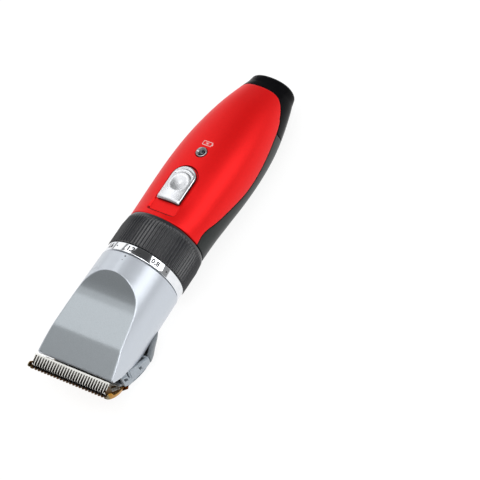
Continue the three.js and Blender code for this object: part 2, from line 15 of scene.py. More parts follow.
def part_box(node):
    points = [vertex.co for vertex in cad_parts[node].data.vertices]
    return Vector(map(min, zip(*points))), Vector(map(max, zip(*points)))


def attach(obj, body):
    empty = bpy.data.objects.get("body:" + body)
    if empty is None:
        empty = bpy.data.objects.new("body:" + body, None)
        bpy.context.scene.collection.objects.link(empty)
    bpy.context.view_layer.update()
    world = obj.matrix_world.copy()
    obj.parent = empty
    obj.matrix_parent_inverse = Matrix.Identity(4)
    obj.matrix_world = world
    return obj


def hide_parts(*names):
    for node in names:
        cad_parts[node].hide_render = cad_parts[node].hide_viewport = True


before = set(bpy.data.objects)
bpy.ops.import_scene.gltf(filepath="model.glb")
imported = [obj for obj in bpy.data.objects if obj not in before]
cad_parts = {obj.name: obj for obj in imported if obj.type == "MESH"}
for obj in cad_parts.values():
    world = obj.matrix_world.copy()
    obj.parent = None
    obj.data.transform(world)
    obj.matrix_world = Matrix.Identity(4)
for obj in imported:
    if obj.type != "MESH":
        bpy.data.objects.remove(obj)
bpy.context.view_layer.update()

# ---- driving dimensions, as in the CAD --------------------------------------------------

MM = 0.001
BAND_START = 0.15                # chrome band
BAND_R = 21.1
BAND_END = 5.1
RING_START = 5.4                 # ribbed depth ring
RING_R = 21.4
RIB_COUNT = 76
RIB_DEPTH = 0.55
RIBS_END = 17.6
RING_END = 24.1
NECK_BORE = 17.1
BASE_Z = -21.7                   # what the clipper lies on

# Grip: y, half width, top, bottom of each superellipse section.
GRIP = [
    (24.5, 20.3, 19.1, -18.7), (34, 21.0, 17.9, -17.5), (48, 21.5, 17.8, -18.6),
    (62, 21.8, 17.4, -20.1), (76, 21.3, 16.4, -21.2), (90, 19.7, 14.5, -21.6),
    (102, 17.4, 12.1, -20.6), (112, 14.9, 8.9, -18.3), (119, 12.9, 6.2, -15.8),
    (123.4, 11.3, 4.2, -13.3), (124.5, 9.9, 2.8, -11.9),
]
GRIP_POWER = 2.2
GRIP_START = 24.5
GRIP_END = 124.5
WALL = 2.0
SEAM = [
    (20, 5.0), (24.4, 5.0), (29.3, 5.9), (33.8, 5.3), (38, 3.8), (51.3, 0), (64, -2.8),
    (81.5, -2.8), (92.6, -1.9), (102, -1.2), (105, -0.6),
]
TONGUE_Y = 115.5                 # rear tip of the top shell
TONGUE_BEND = 0.0235
SEAM_GAP = 0.15                  # each side of the seam
CAP_LINE = [(98.3, -1.5), (103.5, -24)]
SOCKET_Z = -4.5
SOCKET_HOLE_R = 4.9

SLIDER_FRONT, SLIDER_REAR, SLIDER_HALF = 34.6, 55.4, 6.6
SLIDER_LOW, SLIDER_TOP = 16.7, 18.9
DIMPLE_Y = 45.4
TRACK_FRONT, TRACK_REAR, TRACK_HALF, TRACK_FLOOR = 28.4, 56.1, 7.2, 16.4
TRACK_PLATE_FRONT, TRACK_PLATE_REAR, TRACK_PLATE_HALF, TRACK_PLATE_LOW = 25.4, 58.3, 9.3, 15.0
STEM_SLOT = (-1.9, 45.2, 1.9, 53.9)
LED_Y, LAMP_HOLE_R = 65.7, 3.05
FRONT_SCREW = (31, -16.8)        # y, head z
REAR_SCREW = (106, -18.8)
SCREW_WELL_R = 2.6
CAP_SETTLED_Y = 119.4            # behind this the cap's rows are square to the axis
CAP_ROUND_Y, CAP_ROUND_R = 121.9, 2.6

HEAD_START, HEAD_END = -0.3, -56.0
HEAD_R, HEAD_END_R = 21.3, 22.3
HEAD_WALL = 1.7
HEAD_BORE_END = -9.8
FACE = [
    (-8, 25.4), (-10, 23.2), (-11.4, 21.5), (-12.5, 20.3), (-14, 18.8), (-15.9, 17.0),
    (-17.9, 15.5), (-20.6, 14.0), (-24.8, 12.6), (-42.3, 9.1), (-56.0, 3.8), (-70, -1.62),
]
FLANK = [
    (-70, 10.4), (-56.0, 1.9), (-49.9, -1.8), (-45.1, -3.5), (-38, -8.0), (-31.2, -12.1),
    (-26, -8.7), (-18.2, -8.7), (0, -8.7),
]
COLLAR_Y = -18.2                 # behind this the head is a full ring

TIP_Y, TIP_Z = -64.5, 0.15       # blade plane
BLADE_ANGLE = math.radians(43)
FIXED_THICK, FIXED_LENGTH, FIXED_HALF = 1.6, 20.5, 23.6
FIXED_PITCH, FIXED_GAPS, FIXED_GAP, FIXED_GAP_DEPTH = 1.87, 23, 0.85, 6.5
MOVING_PITCH, MOVING_GAPS, MOVING_GAP, MOVING_HALF = 1.5, 29, 0.68, 21.9
TOOTH_ROOT_Y = -58.4
BLADE_SCREW_X, BLADE_SCREW_ALONG = 13.5, 16.2
MOVING_UNDER = FIXED_THICK + 0.3  # height of the moving blade's underside
MOVING_REAR_HALF = 18.6

FRAME = [
    (-51.0, 20.9, 6, -17.4), (-46, 21.4, 5, -18.9), (-40, 21.8, 4, -20.9),
    (-34, 21.9, 2, -21.6), (-31.4, 21.9, 2, -21.6),
]
FRAME_POWER = 3.6
FRAME_WALL = 1.7
FRAME_FRONT, FRAME_REAR, FRAME_REAR_R = -51.0, -31.4, 0.9
# Cuts through the tray's side walls and ribs on them: (y, z, radius) corners.
FRAME_CUTS = [
    [(-46.7, -8.4, 0.1), (-46.0, -8.4, 0.1), (-45.3, 2, 0), (-47.0, 2, 0)],
    [(-39.4, -11.8, 0.3), (-37.9, -11.8, 0.3), (-37.9, -9.4, 0.3), (-39.4, -9.4, 0.3)],
    [(-49.5, -7.6, 0.3), (-47.7, -8.8, 0.3), (-47.5, -6.6, 0.3), (-49.4, -5.4, 0.3)],
]
FRAME_RIBS = [
    [(-45.3, -10.2, 0.4), (-43.8, -10.2, 0.4), (-43.7, -4.7, 0.5), (-45.0, -4.7, 0.5)],
    [(-37.8, -13.0, 0.4), (-36.9, -13.0, 0.4), (-36.9, -9.0, 0.4), (-39.4, -8.2, 0.4),
     (-39.4, -8.9, 0.2), (-37.8, -9.3, 0.2)],
    [(-47.4, -9.3, 0.3), (-46.9, -9.3, 0.2), (-46.9, -5.6, 0.3), (-49.9, -3.6, 0.3),
     (-49.9, -4.4, 0.2), (-47.4, -6.2, 0.2)],
]

# Heel: y, half width, top, bottom, power of each section.
HEEL = [
    (-31.1, 21.9, 2, -22.1, 3.6), (-28.5, 21.9, 5, -22.2, 3.3), (-25, 21.9, 12, -22.2, 2.7),
    (-21, 21.8, 18, -22.1, 2.3), (-18.5, 21.7, 21.7, -21.9, 2),
]

band_low, band_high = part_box("depth_band")
ORIGIN = np.array([
    (band_low.x + band_high.x) / 2, band_low.y - BAND_START * MM, (band_low.z + band_high.z) / 2,
])


def place(points):
    """Ring-frame millimetres as row-frame metres."""
    return np.asarray(points, float) * MM + ORIGIN


# ---- curves and sections ----------------------------------------------------------------

def grid(x, y, z):
    """Array of points from coordinates that broadcast together."""
    return np.stack(np.broadcast_arrays(x, y, z), axis=-1)


def smooth(stations, y):
    """Smooth curve through (y, value) stations."""
    at, values = np.array(sorted(stations), float).T
    slopes = np.gradient(values, at)
    y = np.clip(y, at[0], at[-1])
    k = np.clip(np.searchsorted(at, y) - 1, 0, len(at) - 2)
    span = at[k + 1] - at[k]
    t = (y - at[k]) / span
    return (
        (1 + 2 * t) * (1 - t) ** 2 * values[k] + t * (1 - t) ** 2 * span * slopes[k]
        + t * t * (3 - 2 * t) * values[k + 1] + t * t * (t - 1) * span * slopes[k + 1]
    )


def softened(points, y, width):
    """Straight runs through (y, value) points, with each bend eased over width."""
    at, values = np.array(sorted(points), float).T
    taps = np.linspace(-1, 1, 9)
    weights = 1.15 - np.abs(taps)
    shifted = [w * np.interp(y + t * width, at, values) for t, w in zip(taps, weights)]
    return np.sum(shifted, axis=0) / weights.sum()


def soft_least(a, b, ease):
    """The smaller of a and b, eased where they meet."""
    h = np.clip(0.5 + 0.5 * (b - a) / ease, 0, 1)
    return b + (a - b) * h - ease * h * (1 - h)


class Loft:
    """Lengthwise form whose section at each y is a superellipse."""

    def __init__(self, stations, power=2.0):
        self.half = [(s[0], s[1]) for s in stations]
        self.top = [(s[0], s[2]) for s in stations]
        self.bottom = [(s[0], s[3]) for s in stations]
        self.powers = [(s[0], s[4] if len(s) > 4 else power) for s in stations]

    def sizes(self, y):
        half, top, bottom = (smooth(s, y) for s in (self.half, self.top, self.bottom))
        return half, (top + bottom) / 2, (top - bottom) / 2

    def point(self, y, angle, inset=0.0):
        half, middle, height = self.sizes(y)
        half, height = half - inset, height - inset
        power = smooth(self.powers, y)
        c, s = np.cos(angle), np.sin(angle)
        r = ((np.abs(c) / half) ** power + (np.abs(s) / height) ** power) ** (-1 / power)
        return grid(r * c, y, middle + r * s)

    def angle_at(self, y, z):
        """Angle on the +X side at which the section reaches height z."""
        low = np.full(np.shape(y), -math.pi / 2)
        high = -low
        for _ in range(40):
            mid = (low + high) / 2
            above = self.point(y, mid)[..., 2] > z
            low, high = np.where(above, low, mid), np.where(above, mid, high)
        return (low + high) / 2


def steps(length, count, fine=0.4, ends=(True, True)):
    """Fractions from 0 to 1 along a length, with close steps within fine of the marked ends."""
    close = fine * np.array([0, 0.12, 0.3, 0.55, 1.0])
    inner = np.linspace(fine if ends[0] else 0, length - fine if ends[1] else length, count)
    runs = [inner]
    if ends[0]:
        runs.append(close)
    if ends[1]:
        runs.append(length - close)
    return np.unique(np.round(np.concatenate(runs), 6)) / length


def blade_point(along, up):
    """y and z of a point of the blade plane: along from the tips, up off the outer face."""
    c, s = math.cos(BLADE_ANGLE), math.sin(BLADE_ANGLE)
    return TIP_Y + along * c + up * s, TIP_Z - along * s + up * c


def rounded_outline(corners, segments=8):
    """Closed outline with each (a, b, radius) corner turned into an arc."""
    made = []
    count = len(corners)
    for i, (a, b, radius) in enumerate(corners):
        here = np.array([a, b], float)
        before = np.array(corners[i - 1][:2], float) - here
        after = np.array(corners[(i + 1) % count][:2], float) - here
        before /= np.linalg.norm(before)
        after /= np.linalg.norm(after)
        half_angle = math.acos(np.clip(before @ after, -1, 1)) / 2
        if radius <= 0 or half_angle > math.pi / 2 - 0.01:
            made.append(here)
            continue
        reach = radius / math.tan(half_angle)
        bisector = (before + after) / np.linalg.norm(before + after)
        centre = here + bisector * radius / math.sin(half_angle)
        start = here + before * reach - centre
        end = here + after * reach - centre
        turn = math.atan2(start[0] * end[1] - start[1] * end[0], start @ end)
        for t in np.linspace(0, turn, segments + 1):
            c, s = math.cos(t), math.sin(t)
            made.append(centre + [c * start[0] - s * start[1], s * start[0] + c * start[1]])
    return np.array(made)


def box_outline(x_low, y_low, x_high, y_high, radius, segments=8):
    """Rounded rectangle between two corners."""
    return rounded_outline([(x_low, y_low, radius), (x_high, y_low, radius),
                            (x_high, y_high, radius), (x_low, y_high, radius)], segments)


# ---- mesh builders ----------------------------------------------------------------------

SHARP = math.radians(38)


def build(name, points, faces, sharp=SHARP):
    """Mesh object from ring-frame points and faces, made clean and closed."""
    mesh = bpy.data.meshes.new(name)
    mesh.from_pydata(place(points).tolist(), [], [tuple(int(i) for i in f) for f in faces])
    work = bmesh.new()
    work.from_mesh(mesh)
    bmesh.ops.remove_doubles(work, verts=work.verts, dist=2e-6)
    bmesh.ops.delete(work, geom=[v for v in work.verts if not v.link_faces], context="VERTS")
    bmesh.ops.recalc_face_normals(work, faces=work.faces)
    if work.calc_volume(signed=True) < 0:
        bmesh.ops.reverse_faces(work, faces=work.faces)
    work.to_mesh(mesh)
    work.free()
    piece = bpy.data.objects.new(name, mesh)
    bpy.context.scene.collection.objects.link(piece)
    shade(piece, sharp)
    return piece


def shade(piece, sharp=SHARP):
    piece.data.shade_smooth()
    piece.data.set_sharp_from_angle(angle=sharp)


def grid_faces(rows, columns, wrap=False, mask=None):
    index = np.arange(rows * columns).reshape(rows, columns)
    after = np.roll(index, -1, axis=1) if wrap else index[:, 1:]
    across = columns if wrap else columns - 1
    if mask is None:
        mask = np.ones((rows - 1, across), bool)
    corners = (index[:-1, :across], after[:-1], after[1:], index[1:, :across])
    return np.stack([c[mask] for c in corners], axis=1)


def open_edges(faces, count):
    """Directed edges of the faces that no neighbour shares."""
    edges = np.concatenate([faces[:, [k, (k + 1) % 4]] for k in range(4)])
    keys = edges[:, 0] * count + edges[:, 1]
    back = edges[:, 1] * count + edges[:, 0]
    return edges[~np.isin(back, keys)]


def eased_edges(outer, inner, edges, radius):
    """Outer points sunk towards the inner ones near open edges, as a quarter round."""
    flat, deep = outer.reshape(-1, 3), inner.reshape(-1, 3)
    a, b = flat[edges[:, 0]], flat[edges[:, 1]]
    along = b - a
    length2 = np.maximum((along ** 2).sum(1), 1e-12)
    nearest = np.empty(len(flat))
    for k in range(0, len(flat), 1500):
        p = flat[k:k + 1500, None]
        t = np.clip(((p - a) * along).sum(2) / length2, 0, 1)
        nearest[k:k + 1500] = np.sqrt((((a + t[..., None] * along) - p) ** 2).sum(2)).min(1)
    inward = np.clip(radius - nearest, 0, radius)
    drop = radius - np.sqrt(np.maximum(radius ** 2 - inward ** 2, 0))
    way = deep - flat
    size = np.maximum(np.linalg.norm(way, axis=1), 1e-9)
    share = np.minimum(drop / size, 0.49)
    return (flat + way * share[:, None]).reshape(outer.shape)


def walled(name, outer, inner, wrap=False, mask=None, radius=0.0, under=0.0, sharp=SHARP):
    """Closed wall between matching grids, edges eased by radius outside and under inside."""
    rows, columns = outer.shape[:2]
    count = rows * columns
    front = grid_faces(rows, columns, wrap, mask)
    edges = open_edges(front, count)
    lifted = eased_edges(outer, inner, edges, radius) if radius else outer
    sunk = eased_edges(inner, outer, edges, under) if under else inner
    back = front[:, ::-1] + count
    rim = np.stack([edges[:, 1], edges[:, 0], edges[:, 0] + count, edges[:, 1] + count], axis=1)
    points = np.concatenate([lifted.reshape(-1, 3), sunk.reshape(-1, 3)])
    return build(name, points, np.concatenate([front, back, rim]), sharp)


def turned(name, profile, centre=(0, 0, 0), axis="y", segments=128, closed=True):
    """Turned body from a (radius, along) profile about an axis through centre."""
    profile = np.array(profile, float)
    angles = np.linspace(0, 2 * math.pi, segments, endpoint=False)
    r, along = profile[:, 0][:, None], profile[:, 1][:, None]
    c, s = r * np.cos(angles), r * np.sin(angles)
    along = np.broadcast_to(along, c.shape)
    points = np.stack([c, along, s] if axis == "y" else [c, s, along], axis=-1) + centre
    if closed:
        points = np.concatenate([points, points[:1]])
    faces = grid_faces(len(points), segments, wrap=True)
    return build(name, points.reshape(-1, 3), faces)


def prism(name, outline, low, high, axis="x"):
    """Prism of a closed outline: (y, z) along x, or (x, y) along z."""
    outline = np.array(outline, float)
    count = len(outline)
    ends = []
    for at in (low, high):
        side = np.full((count, 1), at)
        ends.append(np.hstack([side, outline]) if axis == "x" else np.hstack([outline, side]))
    sides = [(i, (i + 1) % count, (i + 1) % count + count, i + count) for i in range(count)]
    caps = [tuple(range(count))[::-1], tuple(range(count, 2 * count))]
    return build(name, np.concatenate(ends), sides + caps)


def stacked(name, rings):
    """Closed body through a stack of matching outlines."""
    count = len(rings[0])
    faces = [tuple(range(count))] + [tuple(f) for f in grid_faces(len(rings), count, wrap=True)]
    faces.append(tuple(range((len(rings) - 1) * count, len(rings) * count))[::-1])
    return build(name, np.concatenate(rings), faces)


def combine(piece, tool, operation="DIFFERENCE"):
    """Cuts piece with tool, or joins them, and removes the tool."""
    change = piece.modifiers.new("combine", "BOOLEAN")
    change.object, change.operation, change.solver = tool, operation, "EXACT"
    evaluated = piece.evaluated_get(bpy.context.evaluated_depsgraph_get())
    made = bpy.data.meshes.new_from_object(evaluated)
    piece.modifiers.clear()
    old, spare = piece.data, tool.data
    piece.data = made
    made.name = piece.name
    bpy.data.objects.remove(tool)
    bpy.data.meshes.remove(old)
    bpy.data.meshes.remove(spare)
    shade(piece)
    return piece


def finish(piece, body, slot, material, *nodes):
    """Rides the piece on its body, with its finish and the CAD nodes that it stands for."""
    piece.data.materials.clear()
    piece.data.materials.append(material)
    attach(piece, body)
    if nodes:
        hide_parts(*nodes)
    return piece


def repaint(piece, material, wanted):
    """Gives a second finish to the faces for which wanted(x, y, z, normal) holds."""
    piece.data.materials.append(material)
    for polygon in piece.data.polygons:
        x, y, z = (np.array(polygon.center) - ORIGIN) / MM
        if wanted(x, y, z, polygon.normal):
            polygon.material_index = len(piece.data.materials) - 1


# ---- materials --------------------------------------------------------------------------

def add_node(tree, kind, **values):
    """Shader node with its input values, given by name with _ for each space."""
    made = tree.nodes.new("ShaderNode" + kind)
    for name, value in values.items():
        made.inputs[name.replace("_", " ")].default_value = value
    return made


def surface(name, colour, other, rough, metal=0.0, scale=900.0, stretch=(1, 1, 1), bump=0.0,
            bump_scale=2500.0, coat=0.0, coat_rough=0.1, ior=1.5):
    """Procedural finish: noise varies the colour and roughness, and raises a fine grain."""
    material = bpy.data.materials.new(name)
    material.use_nodes = True
    tree = material.node_tree
    links = tree.links
    shader = tree.nodes["Principled BSDF"]
    for socket, value in (("Metallic", metal), ("Coat Weight", coat),
                          ("Coat Roughness", coat_rough), ("IOR", ior)):
        shader.inputs[socket].default_value = value
    where = add_node(tree, "TexCoord")
    mapping = add_node(tree, "Mapping", Scale=stretch)
    links.new(where.outputs["Object"], mapping.inputs["Vector"])
    cloud = add_node(tree, "TexNoise", Scale=scale, Detail=5)
    links.new(mapping.outputs["Vector"], cloud.inputs["Vector"])
    tint = add_node(tree, "ValToRGB")
    for element, at, shade_of in zip(tint.color_ramp.elements, (0.35, 0.65), (other, colour)):
        element.position, element.color = at, (*linear(shade_of), 1)
    links.new(cloud.outputs["Fac"], tint.inputs["Fac"])
    links.new(tint.outputs["Color"], shader.inputs["Base Color"])
    wear = add_node(tree, "MapRange", To_Min=rough[0], To_Max=rough[1])
    links.new(cloud.outputs["Fac"], wear.inputs["Value"])
    links.new(wear.outputs["Result"], shader.inputs["Roughness"])
    if bump:
        grain = add_node(tree, "TexNoise", Scale=bump_scale, Detail=3)
        links.new(mapping.outputs["Vector"], grain.inputs["Vector"])
        relief = add_node(tree, "Bump", Strength=bump, Distance=0.00005)
        links.new(grain.outputs["Fac"], relief.inputs["Height"])
        links.new(relief.outputs["Normal"], shader.inputs["Normal"])
    return material


def linear(colour):
    """sRGB 0-255 as linear 0-1."""
    c = np.array(colour, float) / 255
    return tuple(np.where(c <= 0.04045, c / 12.92, ((c + 0.055) / 1.055) ** 2.4))


RED = surface("red_metallic_lacquer", (240, 16, 17), (236, 15, 16), (0.42, 0.46), metal=0.45,
              scale=900, bump=0.03, bump_scale=7000, ior=1.38)
# Darker red for the slider track's walls: painted shade in the recess.
RECESS_SHADE_RED = surface("painted_recess_shade", (124, 10, 12), (112, 8, 10), (0.42, 0.46), metal=0.3, scale=900)
BLACK = surface("black_satin_plastic", (33, 38, 37), (28, 33, 32), (0.36, 0.42), scale=900,
                bump=0.08, bump_scale=6000, ior=1.3)
GLOSS = surface("black_gloss_plastic", (16, 16, 18), (13, 13, 15), (0.14, 0.19), scale=400,
                bump=0.02, ior=1.1)
CHARCOAL = surface("charcoal_ribbed_plastic", (33, 34, 38), (28, 29, 33), (0.26, 0.34), scale=900,
                   bump=0.10, bump_scale=7000, ior=1.6)
CHROME = surface("chrome_plate", (236, 238, 241), (228, 231, 235), (0.05, 0.10), metal=1.0,
                 scale=300, bump=0.015)
SATIN = surface("satin_chrome", (226, 228, 231), (222, 224, 228), (0.26, 0.29), metal=0.9,
                scale=300)
DIM_CHROME = surface("dim_chrome", (176, 172, 174), (164, 160, 162), (0.26, 0.32), metal=0.9,
                     scale=1200)
# Dark chrome for the slider's sides: painted shade in the gap round the slider.
SLIDER_SIDE_SHADE = surface("painted_slider_side_shade", (74, 62, 63), (64, 53, 54), (0.30, 0.36), metal=0.8,
                      scale=1200)
SILVER = surface("silver_paint", (204, 210, 218), (197, 203, 211), (0.34, 0.40), metal=0.55,
                 scale=6500, bump=0.04, bump_scale=9000, coat=0.2, coat_rough=0.15)
BRUSHED = surface("fine_grained_silver", (190, 197, 202), (170, 177, 182), (0.32, 0.38), metal=0.95,
                  scale=5200, bump=0.10, bump_scale=9000)
FRAME_GREY = surface("blue_grey_plastic", (168, 177, 185), (159, 168, 177), (0.40, 0.50),
                     scale=800, bump=0.10, bump_scale=6000)
# A darker grey than the tray's plastic: painted shade on the heel's bulge under the head.
HEEL_SHADED_GREY = surface("shaded_grey_plastic", (132, 138, 143), (122, 128, 133), (0.42, 0.52),
                    scale=800, bump=0.12, bump_scale=6000)
# Gold steel; banded() below adds a painted shadow band on it under the moving teeth.
GOLD_AND_SHADOW = surface("gold_steel_and_painted_shadow", (255, 255, 255), (236, 236, 236), (0.18, 0.30), metal=1.0,
               scale=500, stretch=(0.25, 2.0, 2.0), bump=0.05, bump_scale=3500)


def banded(material, stops, low, high, edge_half=None, edge_stops=None):
    """Repaints a finish by length: colour stops from y low to y high, in ring-frame millimetres,
    with another set of stops outside half width edge_half."""
    tree = material.node_tree
    links = tree.links
    shader = tree.nodes["Principled BSDF"]
    tint = shader.inputs["Base Color"].links[0].from_node
    where = add_node(tree, "TexCoord")
    apart = add_node(tree, "SeparateXYZ")
    links.new(where.outputs["Object"], apart.inputs["Vector"])
    along = add_node(tree, "MapRange", From_Min=low * MM + ORIGIN[1],
                     From_Max=high * MM + ORIGIN[1])
    links.new(apart.outputs["Y"], along.inputs["Value"])

    def ramp(wanted):
        made = add_node(tree, "ValToRGB")
        while len(made.color_ramp.elements) < len(wanted):
            made.color_ramp.elements.new(0.5)
        for element, (at, colour) in zip(made.color_ramp.elements, wanted):
            element.position, element.color = (at - low) / (high - low), (*linear(colour), 1)
        links.new(along.outputs["Result"], made.inputs["Fac"])
        return made.outputs["Color"]

    def mixed(blend, under, over):
        made = add_node(tree, "Mix", Factor=1.0)
        made.data_type, made.blend_type = "RGBA", blend
        links.new(under, made.inputs[6])
        links.new(over, made.inputs[7])
        return made

    paint = ramp(stops)
    if edge_stops:
        across = add_node(tree, "Math")
        across.operation = "ABSOLUTE"
        links.new(apart.outputs["X"], across.inputs[0])
        soft = 0.15
        outer = add_node(tree, "MapRange", From_Min=(edge_half - soft) * MM,
                         From_Max=(edge_half + soft) * MM)
        links.new(across.outputs[0], outer.inputs["Value"])
        sides = mixed("MIX", paint, ramp(edge_stops))
        links.new(outer.outputs["Result"], sides.inputs["Factor"])
        paint = sides.outputs[2]
    links.new(mixed("MULTIPLY", paint, tint.outputs["Color"]).outputs[2],
              shader.inputs["Base Color"])
    return material


CERAMIC = surface("ivory_ceramic", (240, 240, 236), (233, 232, 226), (0.22, 0.32), scale=600,
                  bump=0.04, bump_scale=5000, coat=0.4, coat_rough=0.12)
# Ceramic for the walls of the moving teeth: painted shade in the gaps between them.
TOOTH_GAP_SHADE = surface("painted_tooth_gap_shade", (255, 255, 255), (238, 238, 238), (0.45, 0.55),
                      scale=600, bump=0.04, bump_scale=5000)
# Dark bronze for the moving blade's end faces: partly the brown carrier's colour, partly painted
# shade.
SHADE_BROWN = surface("bronze_edge_and_painted_shade", (92, 70, 36), (80, 60, 30), (0.35, 0.45), metal=0.6,
                      scale=600, bump=0.04, bump_scale=5000)
INNER = surface("black_moulded_plastic", (24, 25, 27), (19, 20, 22), (0.45, 0.6), scale=700,
                bump=0.15, bump_scale=5000)
STEEL = surface("machined_steel", (176, 180, 186), (150, 154, 160), (0.22, 0.36), metal=1.0,
                scale=700, stretch=(1, 0.2, 1), bump=0.08, bump_scale=4000)
BOARD = surface("green_circuit_board", (28, 108, 58), (20, 84, 44), (0.35, 0.55), scale=1400,
                bump=0.2, bump_scale=3000)
CELL = surface("green_cell_wrap", (50, 132, 84), (40, 112, 70), (0.30, 0.42), scale=300,
               bump=0.05, coat=0.3)
LENS = surface("smoked_lens", (46, 50, 58), (34, 37, 44), (0.06, 0.12), scale=600, bump=0.02,
               coat=0.9, coat_rough=0.04)
PRINT_WHITE = surface("white_print", (236, 206, 204), (228, 196, 194), (0.45, 0.55), scale=1500,
                      bump=0.1)
PRINT_DARK = surface("dark_print", (36, 37, 40), (28, 29, 32), (0.45, 0.55), scale=1500, bump=0.1)

# ---- grip -------------------------------------------------------------------------------

grip = Loft(GRIP, GRIP_POWER)


def seam_z(y):
    """Height of the seam between the top shell and the dark parts."""
    tip_z = grip.point(np.array(TONGUE_Y), np.array(math.pi / 2))[2]
    behind = np.clip(TONGUE_Y - y, 0, None)
    tongue = tip_z - (behind / TONGUE_BEND) ** (1 / 3)
    joint = SEAM[-1][0]
    blend = np.clip((y - joint) / 4, 0, 1)
    side = smooth(SEAM, np.minimum(y, joint))
    return np.where(y < joint, side, tongue * blend + (1 - blend) * np.minimum(tongue, side + 1.0))


def surface_top(x, y):
    """Height of the grip's upper surface over a plan point."""
    half, middle, height = grip.sizes(y)
    return middle + height * np.clip(1 - np.abs(x / half) ** GRIP_POWER, 0, 1) ** (1 / GRIP_POWER)


def track_outline(grow):
    """Plan of the slider's track, grown by grow, as x and y points."""
    rear = TRACK_HALF + grow - 0.05
    front = TRACK_FRONT - grow
    corners = [
        (-TRACK_HALF - grow, front, 1.0 + grow), (TRACK_HALF + grow, front, 1.0 + grow),
        (TRACK_HALF + grow, TRACK_REAR + grow, rear), (-TRACK_HALF - grow, TRACK_REAR + grow, rear),
    ]
    return rounded_outline(corners, 12)


def track_cutter():
    """Recess for the slider: a flat floor, an upright wall and a shallow lead-in that reaches
    further out at the front than beside the slider."""
    base = track_outline(0.0)
    wide = track_outline(1.0)
    x, y = base[:, 0], base[:, 1]
    reach = 0.55 + 0.75 * np.clip((40 - y) / 8, 0, 1)
    way = wide - base
    rows = []
    for out, sink in ((0, None), (0, 1.3), (0.1, 1.15), (0.45, 0.5), (0.7, 0.18), (1.1, -0.4)):
        px, py = x + way[:, 0] * reach * out, y + way[:, 1] * reach * out
        if sink is None:
            z = np.full_like(x, TRACK_FLOOR)
        else:
            depth = sink * np.where(sink > 0, 0.55 + 0.45 * np.clip((40 - y) / 8, 0, 1), 1)
            z = surface_top(px, py) - depth
            z = np.maximum(z, TRACK_FLOOR + 0.1)
        rows.append(np.stack([px, py, z], axis=-1))
    rows.append(np.stack([px, py, np.full_like(x, 24.0)], axis=-1))
    return stacked("cutter", rows)


def ring_cutter(y, z_low, z_high, radius, ease, surface_z):
    """Upright round cutter on the middle plane that flares by ease where it leaves the surface."""
    side = 1 if z_high > z_low else -1
    profile = [(0, z_low), (radius, z_low)]
    for t in np.linspace(0, 1.25, 7):
        profile.append((radius + ease * (1 - math.cos(t)),
                        surface_z - side * ease * (1 - math.sin(t))))
    profile += [(radius + ease * 1.3, z_high), (0, z_high)]
    return turned("cutter", profile, centre=(0, y, 0), axis="z", segments=48, closed=False)


def top_shell():
    front = np.linspace(GRIP_START, TONGUE_Y - 12, 92)
    tail = TONGUE_Y - TONGUE_BEND * np.linspace(8, 0, 30)[1:] ** 3
    y = np.unique(np.round(np.concatenate([
        GRIP_START + 0.4 * np.array([0, 0.12, 0.3, 0.55, 1]), front[1:], tail]), 5))[:, None]
    start = grip.angle_at(y, seam_z(y) + SEAM_GAP)
    share = steps(56, 72, 0.4)[None, :]
    angle = start + (math.pi - 2 * start) * share
    outer, inner = grip.point(y, angle), grip.point(y, angle, WALL)
    shell = walled("top_shell_skin", outer, inner, radius=0.35)
    floor_y = np.linspace(TRACK_PLATE_FRONT, TRACK_PLATE_REAR, 24)[:, None]
    floor_x = np.linspace(-TRACK_PLATE_HALF, TRACK_PLATE_HALF, 20)[None, :]
    upper = grid(floor_x, floor_y, surface_top(floor_x, floor_y) - 0.5)
    lower = upper.copy()
    lower[..., 2] = TRACK_PLATE_LOW
    combine(shell, walled("floor", upper, lower), "UNION")
    combine(shell, track_cutter())
    combine(shell, prism("stem_slot", box_outline(*STEM_SLOT, 0.4), 13, 19, axis="z"))
    lamp_top = float(surface_top(0.0, LED_Y))
    combine(shell, ring_cutter(LED_Y, 13, 21, LAMP_HOLE_R, 0.45, lamp_top))
    return shell


def lower_shell():
    share_y = steps(76, 74, 0.4)[:, None]
    share = steps(66, 84, 0.4)[None, :]
    (cap_y, cap_z), (low_y, low_z) = CAP_LINE
    end = np.full(share.shape, cap_y)
    for _ in range(30):
        z = shell_column(end, share)[..., 2]
        end = cap_y + np.clip(cap_z - z, 0, None) * (low_y - cap_y) / (cap_z - low_z) - SEAM_GAP
    y = GRIP_START + (end - GRIP_START) * share_y
    outer = shell_column(y, share)
    inner = shell_column(y, share, WALL)
    shell = walled("lower_shell_skin", outer, inner, radius=0.35)
    return screw_well(shell, *FRONT_SCREW)


def shell_column(y, share, inset=0.0):
    """Point of the lower shell at a share of the way down one side, under and up the other."""
    start = grip.angle_at(y, seam_z(y) - SEAM_GAP)
    return grip.point(y, start - (math.pi + 2 * start) * share, inset)


def screw_well(shell, y, head_z):
    below = float(grip.point(np.array(float(y)), np.array(-math.pi / 2))[2])
    return combine(shell, ring_cutter(y, head_z + 0.05, below - 3, SCREW_WELL_R, 0.35, below))


def cap_border():
    """Right half of the tail cap's front border, as (angle, y), from underneath to the top."""
    (cap_y, cap_z), (low_y, low_z) = CAP_LINE
    lean = (low_y - cap_y) / (cap_z - low_z)
    corner_y = cap_y + SEAM_GAP
    corner = float(grip.angle_at(np.array(corner_y), seam_z(np.array(corner_y)) - SEAM_GAP))
    angle = np.concatenate([np.linspace(-math.pi / 2, corner - 0.02, 30), [corner]])
    y = np.full(angle.shape, cap_y)
    for _ in range(30):
        z = grip.point(y, angle)[..., 2]
        y = cap_y + np.clip(cap_z - z, 0, None) * lean + SEAM_GAP
    behind = np.concatenate([
        np.linspace(corner_y + 0.3, TONGUE_Y - 10, 14),
        TONGUE_Y + 0.3 - TONGUE_BEND * np.linspace(7.6, 0, 22)[1:] ** 3,
    ])
    rim = grip.angle_at(behind, seam_z(np.minimum(behind, TONGUE_Y)) - SEAM_GAP)
    rim[-1] = math.pi / 2
    return np.concatenate([angle, rim]), np.concatenate([y, behind])


